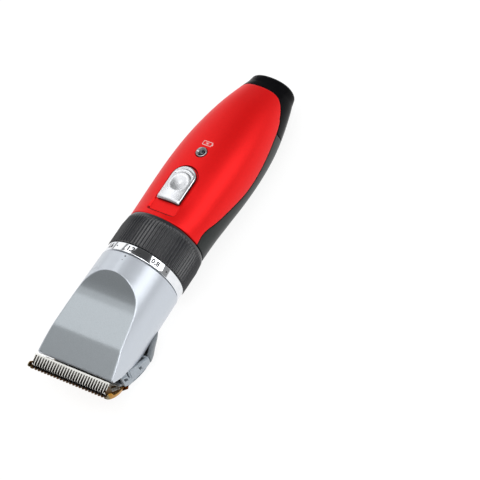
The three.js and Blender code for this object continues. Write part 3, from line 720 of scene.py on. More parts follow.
def tail_cap():
    angle, y = cap_border()
    under = len(angle) - 35      # the other 35 points of the border lie behind its corner
    share = np.concatenate([np.linspace(0, 0.5, under), np.linspace(0.5, 1, 36)[1:]])
    settle = -math.pi / 2 + math.pi * share
    rows = steps(18, 22, 0.4, ends=(True, False))[:, None]
    angles = angle + (settle - angle) * rows
    ys = y + (CAP_SETTLED_Y - y) * rows
    outer, inner = grip.point(ys, angles), grip.point(ys, angles, WALL)
    # rounded end: the section shrinks along a quarter ellipse to a flat rear face
    straight = np.linspace(CAP_SETTLED_Y, CAP_ROUND_Y, 4)[1:]
    turn = np.linspace(0, math.pi / 2, 12)[1:]
    end_y = np.concatenate([straight, CAP_ROUND_Y + CAP_ROUND_R * np.sin(turn)])
    inset = np.concatenate([np.zeros(len(straight)), CAP_ROUND_R * (1 - np.cos(turn))])
    held_y = np.concatenate([straight, np.full(len(turn), CAP_ROUND_Y)])
    skin = grip.point(held_y[:, None], settle[None, :], inset[:, None])
    skin[..., 1] = end_y[:, None]
    deep = grip.point(held_y[:, None], settle[None, :], inset[:, None] + WALL)
    deep[..., 1] = np.minimum(end_y, GRIP_END - WALL)[:, None]
    circle = np.stack([SOCKET_HOLE_R * np.cos(settle), np.full(settle.shape, GRIP_END),
                       SOCKET_Z + SOCKET_HOLE_R * np.sin(settle)], axis=-1)
    flat = np.array([skin[-1] + (circle - skin[-1]) * t for t in (0.4, 0.75, 0.92, 0.97, 1.0)])
    flat_deep = flat.copy()
    flat_deep[..., 1] = GRIP_END - WALL
    outer = np.concatenate([outer, skin, flat])
    inner = np.concatenate([inner, deep, flat_deep])
    outer, inner = mirrored(outer), mirrored(inner)
    cap = walled("tail_cap_skin", outer, inner, wrap=True, radius=0.35)
    return screw_well(cap, *REAR_SCREW)


def mirrored(right):
    """Right half of a closed section, bottom to top, continued round the left side."""
    left = right[:, -2:0:-1].copy()
    left[..., 0] *= -1
    return np.concatenate([right, left], axis=1)


def shell_screw(name, y, head_top, length):
    profile = rounded_outline([
        (0, head_top - 1.0, 0), (2.2, head_top - 1.0, 0.35), (2.2, head_top, 0.1),
        (1.0, head_top, 0.1), (1.0, head_top + length, 0.3), (0, head_top + length, 0)], 6)
    screw = turned(name, profile, centre=(0, y, 0), axis="z", segments=64, closed=False)
    for across, along in ((1.25, 0.27), (0.27, 1.25)):
        arm = box_outline(-across, y - along, across, y + along, 0.15, 4)
        combine(screw, prism("drive", arm, head_top - 1.6, head_top - 0.45, axis="z"))
    return screw


def grip_pieces():
    shell = finish(top_shell(), "housing", "red_shell", RED, "top_shell")
    near = 1.6

    # Steep faces in and round the track get the darker red: painted shade around the slider.
    def track_shade_wall(x, y, z, normal):
        in_track = abs(x) < TRACK_HALF + near and TRACK_FRONT - near < y < TRACK_REAR + near
        return in_track and z > TRACK_FLOOR and normal.z < 0.72

    repaint(shell, RECESS_SHADE_RED, track_shade_wall)
    finish(lower_shell(), "housing", "black_shell", BLACK, "lower_shell")
    finish(tail_cap(), "housing", "gloss_black", GLOSS, "tail_cap")
    finish(shell_screw("front_screw", *FRONT_SCREW, 4.3), "housing", "steel", STEEL,
           "shell_screw_front")
    finish(shell_screw("rear_screw", *REAR_SCREW, 10.4), "housing", "steel", STEEL,
           "shell_screw_rear")


# ---- power slider, lamp and socket ------------------------------------------------------

def slider_height(x, y):
    """Top of the thumb slider: a slight crown, a round dimple with a raised rim, two curved grip
    grooves near the rear and a front lip that rolls down."""
    crown = 0.5 * (x / SLIDER_HALF) ** 2
    away = np.hypot(x, y - DIMPLE_Y) / 4.6
    dish = 0.75 * np.clip(1 - away ** 2, 0, 1) ** 1.5 - 0.04 * np.exp(-((away - 1.08) / 0.16) ** 2)
    z = SLIDER_TOP - 0.1 - crown - dish - 0.05 * np.exp(-(away / 0.18) ** 2)
    for r in (6.5, 8.4):
        bow = np.abs(np.hypot(x, y - DIMPLE_Y) - r)
        side = np.clip((5.2 - np.abs(x)) / 0.8, 0, 1)
        z -= 0.24 * np.exp(-(bow / 0.42) ** 2) * side * np.clip((y - DIMPLE_Y - 3) / 1.5, 0, 1)
    lip = np.clip((SLIDER_FRONT + 2.2 - y) / 2.2, 0, 1)
    return z - 0.7 * lip ** 2.2


def switch_slider():
    round_r = SLIDER_HALF - 0.1
    centre_y = SLIDER_REAR - round_r
    turn = np.linspace(0, math.pi / 2, 40)
    tail = centre_y + round_r * np.sin(turn)
    corner = 0.8
    nose = SLIDER_FRONT + corner * (1 - np.cos(np.linspace(0, math.pi / 2, 6)))
    y = np.concatenate([nose, np.linspace(SLIDER_FRONT + corner, centre_y, 70)[1:], tail[1:]])
    half = np.full(y.shape, SLIDER_HALF)
    rear = y > centre_y
    half[rear] = SLIDER_HALF * np.sqrt(np.clip(1 - ((y[rear] - centre_y) / round_r) ** 2, 0, 1))
    front = y < SLIDER_FRONT + corner
    ahead = SLIDER_FRONT + corner - y[front]
    half[front] -= corner - np.sqrt(np.clip(corner ** 2 - ahead ** 2, 0, None))
    share = steps(2 * SLIDER_HALF, 64, 0.9)[None, :] * 2 - 1
    x = half[:, None] * share
    ys = np.broadcast_to(y[:, None], x.shape)
    outer = np.stack([x, ys, slider_height(x, ys)], axis=-1)
    inner = np.stack([x, ys, np.full(x.shape, SLIDER_LOW)], axis=-1)
    return walled("power_slider", outer, inner, radius=0.75, sharp=math.radians(50))


def slider_piece():
    slider = finish(switch_slider(), "power_switch", "chrome_trim", SATIN, "switch_slider")
    # Faces that turn away from the top get the dark chrome: painted shade beside the slider.
    repaint(slider, SLIDER_SIDE_SHADE, lambda x, y, z, normal: normal.z < 0.45)


def fine_outline(outline, step=0.22):
    """Outline with points no further apart than step, so that it follows a curved surface."""
    made = []
    for here, after in zip(outline, np.roll(outline, -1, axis=0)):
        count = max(1, int(np.ceil(np.linalg.norm(after - here) / step)))
        made += [here + (after - here) * k / count for k in range(count)]
    return np.array(made)


def charge_icon():
    """Generic battery outline with a bolt in it, printed behind the lamp."""
    middle = LED_Y + 5.6
    long, wide, line = 2.6, 1.3, 0.30
    case = fine_outline(box_outline(-long, -wide, long, wide, 0.4, 4))
    shapes = [(case, case * [1 - line / long, 1 - line / wide])]
    nub = fine_outline(box_outline(long + 0.15, -0.5, long + 0.5, 0.5, 0.1, 3))
    bolt = fine_outline(np.array([
        (-1.1, -0.12), (0.05, 0.75), (0.0, 0.12), (1.1, 0.12), (-0.05, -0.75), (0.0, -0.12)]))
    for flat in (nub, bolt):
        core = flat.mean(axis=0)
        shapes.append((flat, core + (flat - core) * 0.02))
    piece = None
    for rim, core in shapes:
        grids = []
        for lift in (0.05, -0.12):
            rows = []
            for t in (0, 0.34, 0.67, 1):
                plan = rim + (core - rim) * t
                x, y = plan[:, 0], middle + plan[:, 1]
                rows.append(np.stack([x, y, surface_top(x, y) + lift], axis=-1))
            grids.append(np.array(rows))
        part = walled("charge_icon", grids[0], grids[1], wrap=True)
        piece = part if piece is None else combine(piece, part, "UNION")
    return piece


def lamp_pieces():
    finish(charge_icon(), "housing", "red_shell", PRINT_WHITE)
    bezel = rounded_outline([
        (1.55, 14.2, 0), (2.8, 14.2, 0), (2.8, 17.45, 0.3), (2.4, 17.6, 0.25), (2.0, 17.2, 0.2),
        (1.55, 16.7, 0)], 6)
    finish(turned("lamp_ring", bezel, centre=(0, LED_Y, 0), axis="z", segments=96), "housing",
           "chrome_trim", DIM_CHROME, "lamp_bezel")
    dome = [(0, 14.2), (1.25, 14.2), (1.25, 16.8)]
    dome += [(1.25 * math.cos(t), 16.8 + 0.5 * math.sin(t))
             for t in np.linspace(0.15, math.pi / 2, 8)]
    finish(turned("lamp_dome", dome, centre=(0, LED_Y, 0), axis="z", segments=64, closed=False),
           "housing", "lamp", LENS, "lamp_lens")
    socket = rounded_outline([
        (0, 110.6, 0), (4.6, 110.6, 0.3), (4.6, 124.3, 0.45), (2.75, 124.3, 0.5),
        (2.75, 112.05, 0.2), (0, 112.05, 0)], 6)
    finish(turned("charge_jack", socket, centre=(0, 0, SOCKET_Z), segments=96, closed=False),
           "housing", "inner_plastic", INNER, "charge_socket")
    pin = [(0, 112.35), (0.65, 112.35), (0.65, 120.9)]
    pin += [(0.65 * math.cos(t), 120.9 + 0.6 * math.sin(t))
            for t in np.linspace(0.2, math.pi / 2, 6)]
    finish(turned("jack_pin", pin, centre=(0, 0, SOCKET_Z), segments=32, closed=False), "housing",
           "steel", STEEL, "socket_pin")


# ---- depth ring and band ----------------------------------------------------------------

def depth_ring():
    samples = 10
    columns = RIB_COUNT * samples
    angle = np.linspace(0, 2 * math.pi, columns, endpoint=False)[None, :]
    phase = (np.arange(columns) % samples) / samples
    wave = 0.5 - 0.5 * np.cos(2 * math.pi * phase)
    groove = RIB_DEPTH * (wave ** 0.8)[None, :]
    y = np.concatenate([
        RING_START + np.array([0, 0.05, 0.15, 0.3, 0.5]),
        np.linspace(RING_START + 0.5, RIBS_END + 1.0, 12)[1:],
        np.linspace(RIBS_END + 1.0, RIBS_END + 5.4, 18)[1:],
        np.linspace(RIBS_END + 5.4, RING_END - 0.4, 4)[1:],
        RING_END - 0.4 + np.array([0.14, 0.27, 0.36, 0.4]),
    ])[:, None]
    body = np.interp(y, [RING_START, RIBS_END, 19.0, 22.6, RING_END],
                     [RING_R, RING_R, 21.2, 20.8, 20.2])
    fade = np.clip((RIBS_END + 5.2 - y) / 2.2, 0, 1)
    fade = fade * fade * (3 - 2 * fade)
    ease = 0.4
    edge = np.minimum(y - RING_START, RING_END - y)
    inward = np.clip(ease - edge, 0, ease)
    soft = ease - np.sqrt(ease ** 2 - inward ** 2)
    r = body - groove * fade - soft
    outer, inner = (grid(at * np.cos(angle), y, at * np.sin(angle)) for at in (r, NECK_BORE))
    return walled("depth_grip_ring", outer, inner, wrap=True)


def depth_band():
    profile = rounded_outline([
        (19.5, BAND_START, 0), (BAND_R, BAND_START, 0.5), (BAND_R, BAND_END, 0.4),
        (19.5, BAND_END, 0)], 8)
    return turned("depth_band_trim", profile, segments=256)


def wrapped_text(name, text, height, angle, y, lift):
    """Numbers laid round the band: angle from the top towards +X, y at their middle."""
    curve = bpy.data.curves.new(name, "FONT")
    curve.body, curve.size = text, height
    curve.align_x, curve.align_y = "CENTER", "CENTER"
    curve.offset = 0.05 * height
    curve.resolution_u = 4
    holder = bpy.data.objects.new(name, curve)
    bpy.context.scene.collection.objects.link(holder)
    flat = bpy.data.meshes.new_from_object(
        holder.evaluated_get(bpy.context.evaluated_depsgraph_get()))
    points = np.array([v.co[:] for v in flat.vertices])
    faces = [tuple(p.vertices) for p in flat.polygons]
    bpy.data.objects.remove(holder)
    bpy.data.curves.remove(curve)
    bpy.data.meshes.remove(flat)
    turn = math.radians(angle) + points[:, 0] / BAND_R
    rows = []
    for r in (BAND_R + lift, BAND_R - 0.05):
        rows.append(np.stack([r * np.sin(turn), y + points[:, 1], r * np.cos(turn)], axis=-1))
    count = len(points)
    edges = {}
    for f in faces:
        for a, b in zip(f, f[1:] + f[:1]):
            edges[(a, b)] = True
    rim = [(b, a, a + count, b + count) for a, b in edges if (b, a) not in edges]
    back = [tuple(i + count for i in f[::-1]) for f in faces]
    return build(name, np.concatenate(rows), faces + back + rim)


def spot(name, radius, angle, y, r, lift=0.03, segments=20):
    """Round printed dot on a turned surface of radius r."""
    a = np.linspace(0, 2 * math.pi, segments, endpoint=False)[None, :]
    rho = np.array([0, 0.5, 1.0])[:, None] * radius
    turn = math.radians(angle) + rho * np.cos(a) / r
    along = y + rho * np.sin(a)
    above, below = (grid(at * np.sin(turn), along, at * np.cos(turn))
                    for at in (r + lift, r - 0.08))
    return walled(name, above, below, wrap=True)


def ring_pieces():
    finish(depth_ring(), "depth_dial", "charcoal_rubber", CHARCOAL, "depth_ring")
    finish(depth_band(), "depth_dial", "chrome_trim", CHROME, "depth_band")
    middle = (BAND_START + BAND_END) / 2
    for index, text in enumerate(("0.8", "1.2", "1.6", "2.0")):
        mark = wrapped_text(f"band_number_{index}", text, 3.5, 39 - 38 * index, middle, 0.03)
        finish(mark, "depth_dial", "black_shell", PRINT_DARK)
    for index, angle in enumerate((-22.2, 15.7, 58.0)):
        finish(spot(f"band_dot_{index}", 0.42, angle, middle, BAND_R), "depth_dial",
               "black_shell", PRINT_DARK)


# ---- head -------------------------------------------------------------------------------

def head_radius(y):
    return HEAD_R + (HEAD_END_R - HEAD_R) * (HEAD_START - y) / (HEAD_START - HEAD_END)


def face_z(y):
    return softened(FACE, y, 1.5)


def flank_z(y):
    return softened(FLANK, y, 0.35)


def head_ray(y, angle, inset=0.0):
    """Distance from the axis to the head's skin: the round body or the scooped face."""
    body = head_radius(y) - inset
    face = face_z(y) - inset
    sine = np.sin(angle)
    flat = np.where(sine > 0.02, face / np.maximum(sine, 0.02), 1e3)
    ease = 0.10 + 0.34 * np.clip((body - face) / 3, 0, 1)
    return soft_least(body, np.minimum(flat, 60), ease)


def head_housing():
    edge = 0.5 * np.array([0, 0.12, 0.3, 0.55, 1])
    y = np.unique(np.round(np.concatenate([
        HEAD_START - edge, np.arange(-1.3, -7.5, -0.8), np.arange(-7.5, -13, -0.22),
        np.arange(-13, -17.5, -0.45), COLLAR_Y + edge, COLLAR_Y - edge,
        np.arange(-19, -40.5, -0.7), np.arange(-40.5, -44.5, -0.3), np.arange(-44.5, -55.3, -0.6),
        HEAD_END + edge, [-26, -31.2, -38, -45.1, -49.9]]), 4))[::-1][:, None]
    low = np.arcsin(np.clip(flank_z(np.minimum(y, COLLAR_Y)) / head_radius(y), -1, 1))
    corner = np.arcsin(np.clip(face_z(y) / head_radius(y), 0, 1))
    room = math.pi / 2 - corner
    near = np.minimum(0.07, 0.45 * room)
    flank = steps(17, 14, 0.5, ends=(True, False))[None, :]
    runs = [
        low + (corner - 0.07 - low) * flank,
        corner - 0.07 + (0.07 + near) * np.linspace(0, 1, 12)[None, 1:],
        corner + near + (room - near) * np.linspace(0, 1, 20)[None, 1:],
    ]
    right = np.concatenate(runs, axis=1)
    upper = np.concatenate([right, math.pi - right[:, -2::-1]], axis=1)
    collar_low = math.asin(flank_z(np.array(COLLAR_Y)) / head_radius(COLLAR_Y))
    below = np.linspace(math.pi - collar_low, 2 * math.pi + collar_low, 50)[1:-1]
    angle = np.concatenate([upper, np.broadcast_to(below, (len(y), len(below)))], axis=1)
    r_out = head_ray(y, angle)
    r_in = np.where(y > HEAD_BORE_END, NECK_BORE, head_ray(y, angle, HEAD_WALL))
    outer, inner = (grid(r * np.cos(angle), y, r * np.sin(angle)) for r in (r_out, r_in))
    columns = angle.shape[1]
    mask = np.ones((len(y) - 1, columns), bool)
    front = (y[:-1, 0] <= COLLAR_Y + 1e-6)[:, None]
    lower_cells = np.arange(columns) >= upper.shape[1] - 1
    mask &= ~(front & lower_cells[None, :])
    return walled("head_shell", outer, inner, wrap=True, mask=mask, radius=0.35, under=0.2)


def head_pieces():
    shell = finish(head_housing(), "housing", "silver_paint", SILVER, "head_housing")

    def on_face(x, y, z, normal):
        inside = math.hypot(x, z) < head_radius(y) - 0.03
        return inside and z > 1.5 and abs(z - face_z(np.array(y))) < 0.02

    repaint(shell, BRUSHED, on_face)
    finish(spot("index_dot", 0.42, 0.8, -1.9, HEAD_R + 0.03), "housing", "black_shell", PRINT_DARK)
    finish(spot("index_tick", 0.24, 0.0, -4.2, HEAD_R + 0.07), "housing", "black_shell", PRINT_DARK)


# ---- blade unit -------------------------------------------------------------------------

def comb_columns(half, pitch, gaps, gap):
    """Column x positions across a toothed blade, which column bounds which gap, and gap cells."""
    x, owner, cells = [], [], []
    centres = (np.arange(gaps) - (gaps - 1) / 2) * pitch
    left = -half
    for k in range(gaps + 1):
        right = centres[k] - gap / 2 if k < gaps else half
        for share in np.linspace(0, 1, 7 if 0 < k < gaps else 11):
            x.append(left + (right - left) * share)
            owner.append((k, share))
        if k < gaps:
            cells.append(len(x) - 1)
            left = centres[k] + gap / 2
    return np.array(x), owner, np.array(cells), centres


def toothed(owner, centres, opening, width):
    """Column positions of one row: gaps opened to 2 * opening, and the plate's half width set."""
    gaps = len(centres)
    made = []
    for k, share in owner:
        left = -width if k == 0 else centres[k - 1] + opening
        right = width if k == gaps else centres[k] - opening
        made.append(left + (right - left) * share)
    return made


# Fixed teeth: brown tips, then a dark band of painted shadow under the moving teeth, gold behind;
# grey-brown guards at the ends.
banded(GOLD_AND_SHADOW, [(-64.4, (132, 106, 74)), (-63.7, (84, 60, 40)), (-63.0, (30, 22, 18)),
              (-60.4, (24, 18, 15)), (-58.6, (170, 116, 30)), (-52.0, (196, 138, 40))],
       -65.0, -49.0, 22.0,
       [(-64.2, (128, 122, 108)), (-63.0, (140, 124, 88)), (-62.0, (178, 126, 38)),
        (-52.0, (204, 146, 46))])

# Walls of the moving teeth: painted shade in the gaps between them, darker towards the tips.
banded(TOOTH_GAP_SHADE, [(-62.6, (36, 28, 23)), (-61.4, (62, 56, 50)), (-59.8, (138, 135, 130)),
                     (-58.4, (178, 176, 171))], -63.0, -58.0)


def fixed_blade():
    x, owner, cells, centres = comb_columns(FIXED_HALF, FIXED_PITCH, FIXED_GAPS, FIXED_GAP)
    root = FIXED_GAP_DEPTH
    along = np.array([0, 0.06, 0.15, 0.3, 0.5, 0.8, 1.2, 1.8, 2.6, 3.6, 4.6, 5.5, 6.0, 6.2, 6.35,
                      6.45, root, 6.7, 7.2, 8.5, 10, 12, 14, 16, 18, 19.3, 20.1, 20.35, 20.45,
                      FIXED_LENGTH])
    rear = 18.5
    rows = []
    for a in along:
        if a < 3:
            t = math.sqrt(a / 3)
            width = FIXED_HALF - 2.2 * (1 - t) ** 2
        else:
            t = (a - 3) / (FIXED_LENGTH - 3)
            width = FIXED_HALF - (FIXED_HALF - rear) * t ** 1.8
        nose = 0.30 * max(0.0, 1 - a / 0.5) ** 2
        opening = FIXED_GAP / 2 + 0.10 * max(0.0, 1 - a / root) + nose
        into = (a - (root - 0.42)) / 0.42
        if into > 0:
            opening = 0.10 + (opening - 0.10) * math.sqrt(max(0.0, 1 - min(into, 1) ** 2))
        rows.append(toothed(owner, centres, opening, width))
    xs = np.array(rows)
    a = along[:, None]
    high = np.minimum(FIXED_THICK, 0.85 + 0.75 * np.clip(a / 1.1, 0, 1) ** 0.7)
    low = 0.30 * np.clip(1 - a / 1.6, 0, 1) ** 2
    upper, lower = (grid(xs, *blade_point(a, up)) for up in (high, low))
    mask = np.ones((len(along) - 1, len(x) - 1), bool)
    mask[np.ix_(along[1:] <= root + 1e-9, cells)] = False
    blade = walled("gold_fixed_blade", upper, lower, mask=mask, radius=0.12, under=0.12)
    for side in (-1, 1):
        combine(blade, end_guard(side), "UNION")
    return blade


def end_guard(side):
    """Raised leaf at one end of the fixed blade, beside the moving teeth."""
    corners = [(*blade_point(0.6, 0.5), 0.5), (-64.35, 1.6, 0.7), (-63.3, 2.6, 0.9),
               (-61.8, 2.3, 0.9), (-60.5, 0.6, 0.8), (*blade_point(5.9, 0.9), 0.2)]
    outline = rounded_outline(corners, 8)
    middle = outline.mean(axis=0)
    rings = []
    for across, shrink in ((0, 0.2), (0.04, 0.1), (0.12, 0.02), (0.2, 0), (0.35, 0), (0.43, 0.02),
                           (0.51, 0.1), (0.55, 0.2)):
        reach = np.linalg.norm(outline - middle, axis=1)[:, None]
        ring = middle + (outline - middle) * np.clip(1 - shrink / reach, 0.1, 1)
        at = side * (FIXED_HALF - 0.55 + across)
        rings.append(np.hstack([np.full((len(ring), 1), at), ring]))
    return stacked("guard", rings)


def moving_blade():
    x, owner, cells, centres = comb_columns(MOVING_HALF, MOVING_PITCH, MOVING_GAPS, MOVING_GAP)
    top = [(-62.7, 2.25), (-62.6, 2.55), (-62.3, 2.8), (-61.4, 3.12), (-60.2, 3.54), (-59.4, 3.82),
           (-58.75, 4.04), (-58.6, 4.1), (TOOTH_ROOT_Y, 4.17), (-58.1, 4.28), (-57.9, 4.33),
           (-57.7, 4.3), (-57.6, 4.1), (-57.55, 3.4), (-57.45, 2.0), (-57.4, 1.3), (-56.9, 0.5),
           (-55.8, -1.2), (-54.6, -3.1), (-53.9, -4.2), (-53.75, -5.2), (-53.6, -6.3)]
    y = np.array([p[0] for p in top])
    z = np.array([p[1] for p in top])
    heel_y, heel_z = blade_point(13.2, MOVING_UNDER)
    foot_y, foot_z = blade_point(0.95, MOVING_UNDER)
    slope = (heel_z - foot_z) / (heel_y - foot_y)
    toothy = y <= TOOTH_ROOT_Y + 1e-9
    teeth = int(toothy.sum())
    low_y = np.where(toothy, np.maximum(y, foot_y), 0)
    low_y[teeth:] = np.linspace(TOOTH_ROOT_Y, heel_y, len(y) - teeth + 1)[1:]
    low_z = foot_z + (low_y - foot_y) * slope
    low_z[0] += 0.25
    rows, under_rows = [], []
    for value, above, below in zip(y, z, low_z):
        run = value + 62.7
        opening = (MOVING_GAP / 2 + 0.17 * max(0.0, 1 - run / 3.9)
                   + 0.1 * max(0.0, 1 - run / 0.45) ** 2)
        into = (run - 3.96) / 0.34
        if into > 0:
            opening = 0.08 + (opening - 0.08) * math.sqrt(max(0.0, 1 - min(into, 1) ** 2))
        width = (MOVING_HALF - 0.5 * max(0.0, 1 - run / 3.0) ** 2
                 - 0.8 * max(0.0, 1 - run / 0.8) ** 2)
        if value > -57.5:
            width = MOVING_REAR_HALF
        rows.append(toothed(owner, centres, opening, width))
        lean = max(MOVING_REAR_HALF, width - 0.8 * max(0.0, above - below - 0.4))
        under_rows.append(toothed(owner, centres, opening, min(width, lean)))
    outer = grid(np.array(rows), y[:, None], z[:, None])
    inner = grid(np.array(under_rows), low_y[:, None], low_z[:, None])
    mask = np.ones((len(y) - 1, len(x) - 1), bool)
    mask[np.ix_(y[1:] <= TOOTH_ROOT_Y + 1e-9, cells)] = False
    return walled("ceramic_moving_blade", outer, inner, mask=mask, radius=0.10, under=0.06,
                  sharp=math.radians(30))


tray = Loft(FRAME, FRAME_POWER)


def frame_column(y, share, inset=0.0):
    start = tray.angle_at(y, flank_z(y) - 0.3)
    return tray.point(y, start - (math.pi + 2 * start) * share, inset)


def blade_frame():
    share = steps(66, 90, 0.35)[None, :]
    start = np.full(share.shape, FRAME_FRONT)
    for _ in range(30):
        z = frame_column(start, share)[..., 2]
        start = np.interp(z, [-13.8, -12.4], [FRAME_FRONT, FRAME_FRONT + 0.7])
    straight_end = FRAME_REAR - FRAME_REAR_R
    y = start + (straight_end - start) * steps(19, 30, 0.35, ends=(True, False))[:, None]
    outer, inner = frame_column(y, share), frame_column(y, share, FRAME_WALL)
    edge = np.full(share.shape, straight_end)
    skins, deeps = [outer], [inner]
    for t in np.linspace(0, math.pi / 2, 7)[1:]:
        skin = frame_column(edge, share, FRAME_REAR_R * (1 - math.cos(t)))
        skin[..., 1] = straight_end + FRAME_REAR_R * math.sin(t)
        skins.append(skin)
        deeps.append(frame_column(edge, share, FRAME_WALL))
    middle = np.array([0.0, FRAME_REAR, float(flank_z(np.array(FRAME_REAR)) - 0.6)])
    last, back = skins[-1], deeps[-1]
    for t in (0.1, 0.35, 0.65, 1.0):
        skins.append(last + (middle - last) * t)
        deep = back + (middle + [0, -1.6, 0] - back) * t
        deep[..., 1] = FRAME_REAR - 1.6
        deeps.append(deep)
    piece = walled("blade_tray", np.concatenate(skins), np.concatenate(deeps), radius=0.3,
                   under=0.2)
    rear_along = FIXED_LENGTH + 0.3
    bed = [blade_point(a, up) for a, up in
           ((6, -0.3), (rear_along, -0.3), (rear_along, MOVING_UNDER), (6, MOVING_UNDER))]
    combine(piece, prism("bed", bed, -30, 30))
    slot = rounded_outline([(-45.5, -13.7, 0.2), (-45.2, -13.1, 0.3), (-32.7, -16.6, 0.5),
                            (-32.7, -18.6, 0.5)], 5)
    combine(piece, prism("slot", slot[::-1], -30, 30))
    for corners in FRAME_CUTS:
        combine(piece, prism("notch", rounded_outline(corners, 5), -30, 30))
    for side in (-1, 1):
        ends = sorted((side * 10.6, side * 19.4))
        ledge = prism("ledge", [blade_point(a, MOVING_UNDER + up) for a, up in
                                ((14.8, 0), (22.5, 0), (22.5, 1.1), (14.8, 1.1))], *ends)
        combine(piece, ledge, "UNION")
        for corners in FRAME_RIBS:
            combine(piece, raised_rib(corners, side), "UNION")
    return piece


def raised_rib(corners, side):
    """Low rib on the tray's side wall, from a (y, z) outline."""
    outline = rounded_outline(corners, 4)
    y, z = outline[:, 0], outline[:, 1]
    middle = outline.mean(axis=0)
    rings = []
    for lift, shrink in ((-1.2, 0), (0.25, 0), (0.42, 0.10), (0.48, 0.25)):
        reach = np.linalg.norm(outline - middle, axis=1)
        k = np.clip(1 - shrink / reach, 0.2, 1)
        yy, zz = middle[0] + (y - middle[0]) * k, middle[1] + (z - middle[1]) * k
        wall = tray.point(yy, tray.angle_at(yy, zz))[..., 0]
        rings.append(np.stack([side * (wall + lift), yy, zz], axis=-1))
    return stacked("rib", rings)


heel_form = Loft(HEEL)


def frame_heel():
    share = steps(60, 90, 0.7)[None, :]
    top = [(-31.1, -12.8), (-26, -9.0), (-18.5, -9.0), (-10, -9.0)]

    def column(y, inset):
        start = heel_form.angle_at(y, softened(top, y, 0.6))
        return heel_form.point(y, start - (math.pi + 2 * start) * share, inset)

    end = np.full(share.shape, -18.5)
    for _ in range(20):
        z = column(end, 0.0)[..., 2]
        end = -18.5 - np.clip(-18.8 - z, 0, None) * 0.5
    y = -31.1 + (end + 31.1) * steps(12, 24, 0.7)[:, None]
    outer = column(y, 0.0)
    outer[..., 2] = np.maximum(outer[..., 2], BASE_Z)
    return walled("tray_heel", outer, column(y, 2.0), radius=0.6, under=0.2)


def blade_screw(name, x):
    profile = rounded_outline([(0, -1.6, 0), (2.3, -1.6, 0.45), (2.3, -0.35, 0.08),
                               (1.1, -0.35, 0.05), (1.1, 2.9, 0.25), (0, 2.9, 0)], 6)
    screw = turned(name, profile, axis="z", segments=64, closed=False)
    slot = box_outline(-1.75, -0.28, 1.75, 0.28, 0.1, 3)
    combine(screw, prism("drive", slot, -2.2, -1.1, axis="z"))
    offset = Matrix.Translation(Vector(place([0, TIP_Y, TIP_Z])))
    tilt = Matrix.Rotation(-BLADE_ANGLE, 4, "X")
    shift = Matrix.Translation(Vector((x * MM, BLADE_SCREW_ALONG * MM, 0)))
    screw.data.transform(offset @ tilt @ shift @ Matrix.Translation(-Vector(ORIGIN)))
    return screw


def blade_pieces():
    finish(fixed_blade(), "blade_unit", "titanium_gold", GOLD_AND_SHADOW, "fixed_blade")
    moving = finish(moving_blade(), "moving_blade", "ceramic", CERAMIC, "moving_blade")

    # End faces of the moving blade get dark bronze: partly the brown carrier's colour, partly
    # painted shade.
    def end_face(x, y, z, normal):
        return abs(normal.x) > 0.6 and abs(x) > 17.5 and (abs(x) > 21 or y > -57.6)

    # Tooth walls and low faces get the dark ceramic: painted shade in the gaps between the teeth.
    def tooth_gap_shade_wall(x, y, z, normal):
        low = z < 3.9 and normal.z < 0.1 and y > -62.3
        return not end_face(x, y, z, normal) and (abs(normal.x) > 0.5 or low)

    repaint(moving, SHADE_BROWN, end_face)
    repaint(moving, TOOTH_GAP_SHADE, tooth_gap_shade_wall)
    finish(blade_frame(), "blade_unit", "frame_plastic", FRAME_GREY, "blade_frame")
    finish(frame_heel(), "blade_unit", "heel_plastic", HEEL_SHADED_GREY, "frame_heel")
    for side, x in (("left", -BLADE_SCREW_X), ("right", BLADE_SCREW_X)):
        finish(blade_screw(f"tray_screw_{side}", x), "blade_unit", "steel", STEEL,
               f"blade_screw_{side}")


# ---- inner parts kept from the CAD ------------------------------------------------------

INNER_FINISHES = {
    "circuit_board": BOARD, "power_microswitch": INNER, "charge_lamp": LENS, "capacitor": INNER,
    "control_chip": INNER, "battery_left": CELL, "battery_right": CELL, "battery_tab_left": STEEL,
    "battery_tab_right": STEEL, "battery_strap": STEEL, "motor_can": STEEL,
    "motor_end_cap": INNER, "chassis": INNER, "detent_spring": STEEL, "detent_ball": STEEL,
    "slider_carrier": INNER, "depth_cam": INNER, "depth_yoke": INNER, "motor_shaft": STEEL,
    "eccentric_cam": STEEL, "blade_driver": INNER, "blade_carriage": INNER,
    "blade_spring_left": STEEL, "blade_spring_right": STEEL,
}


def inner_parts():
    for node, material in INNER_FINISHES.items():
        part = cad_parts[node]
        part.data.materials.clear()
        part.data.materials.append(material)
        part.data.set_sharp_from_angle(angle=math.radians(40))


# ---- studio -----------------------------------------------------------------------------

CAMERA_AZIMUTH, CAMERA_ELEVATION, CAMERA_ROLL = 52.136, 51.916, -24.898
CAMERA_DISTANCE = 1.5
CAMERA_LENS, SENSOR = 235.96, 36.0
CAMERA_TARGET = (33.627, 38.327, -2.369)
FLOOR_HALF = 6.0
FLOOR_GLOW = 0.88                # keeps the pale floor near white without strong shadows
SKY, SKY_DARK = 0.30, 0.07       # world strength, and that of the dark zone over the tail
LIGHT_DISTANCE = 1.6
LIGHTS = {                       # azimuth, elevation, width, height, radiance
    "key": (120, 36, 0.7, 1.0, 3.0),
    "overhead": (40, 72, 1.1, 1.1, 3.6),
    "back": (-128, 51, 0.6, 0.6, 1.3),
    "strip": (-94, 63, 0.8, 1.3, 0.9),
    "left": (-113, 20, 1.2, 0.8, 0.9),
}


def aim(obj, back, target, distance, roll=0.0):
    """Stands obj off target along back, looking at it, turned by roll about its view."""
    back = Vector(back).normalized()
    level = Vector((0, 0, 1)).cross(back).normalized()
    over = back.cross(level)
    c, s = math.cos(roll), math.sin(roll)
    across, up = level * c + over * s, over * c - level * s
    turn = Matrix((across, up, back)).transposed().to_4x4()
    obj.matrix_world = Matrix.Translation(Vector(target) + back * distance) @ turn


def direction(azimuth, elevation):
    a, e = math.radians(azimuth), math.radians(elevation)
    return Vector((math.sin(a) * math.cos(e), -math.cos(a) * math.cos(e), math.sin(e)))


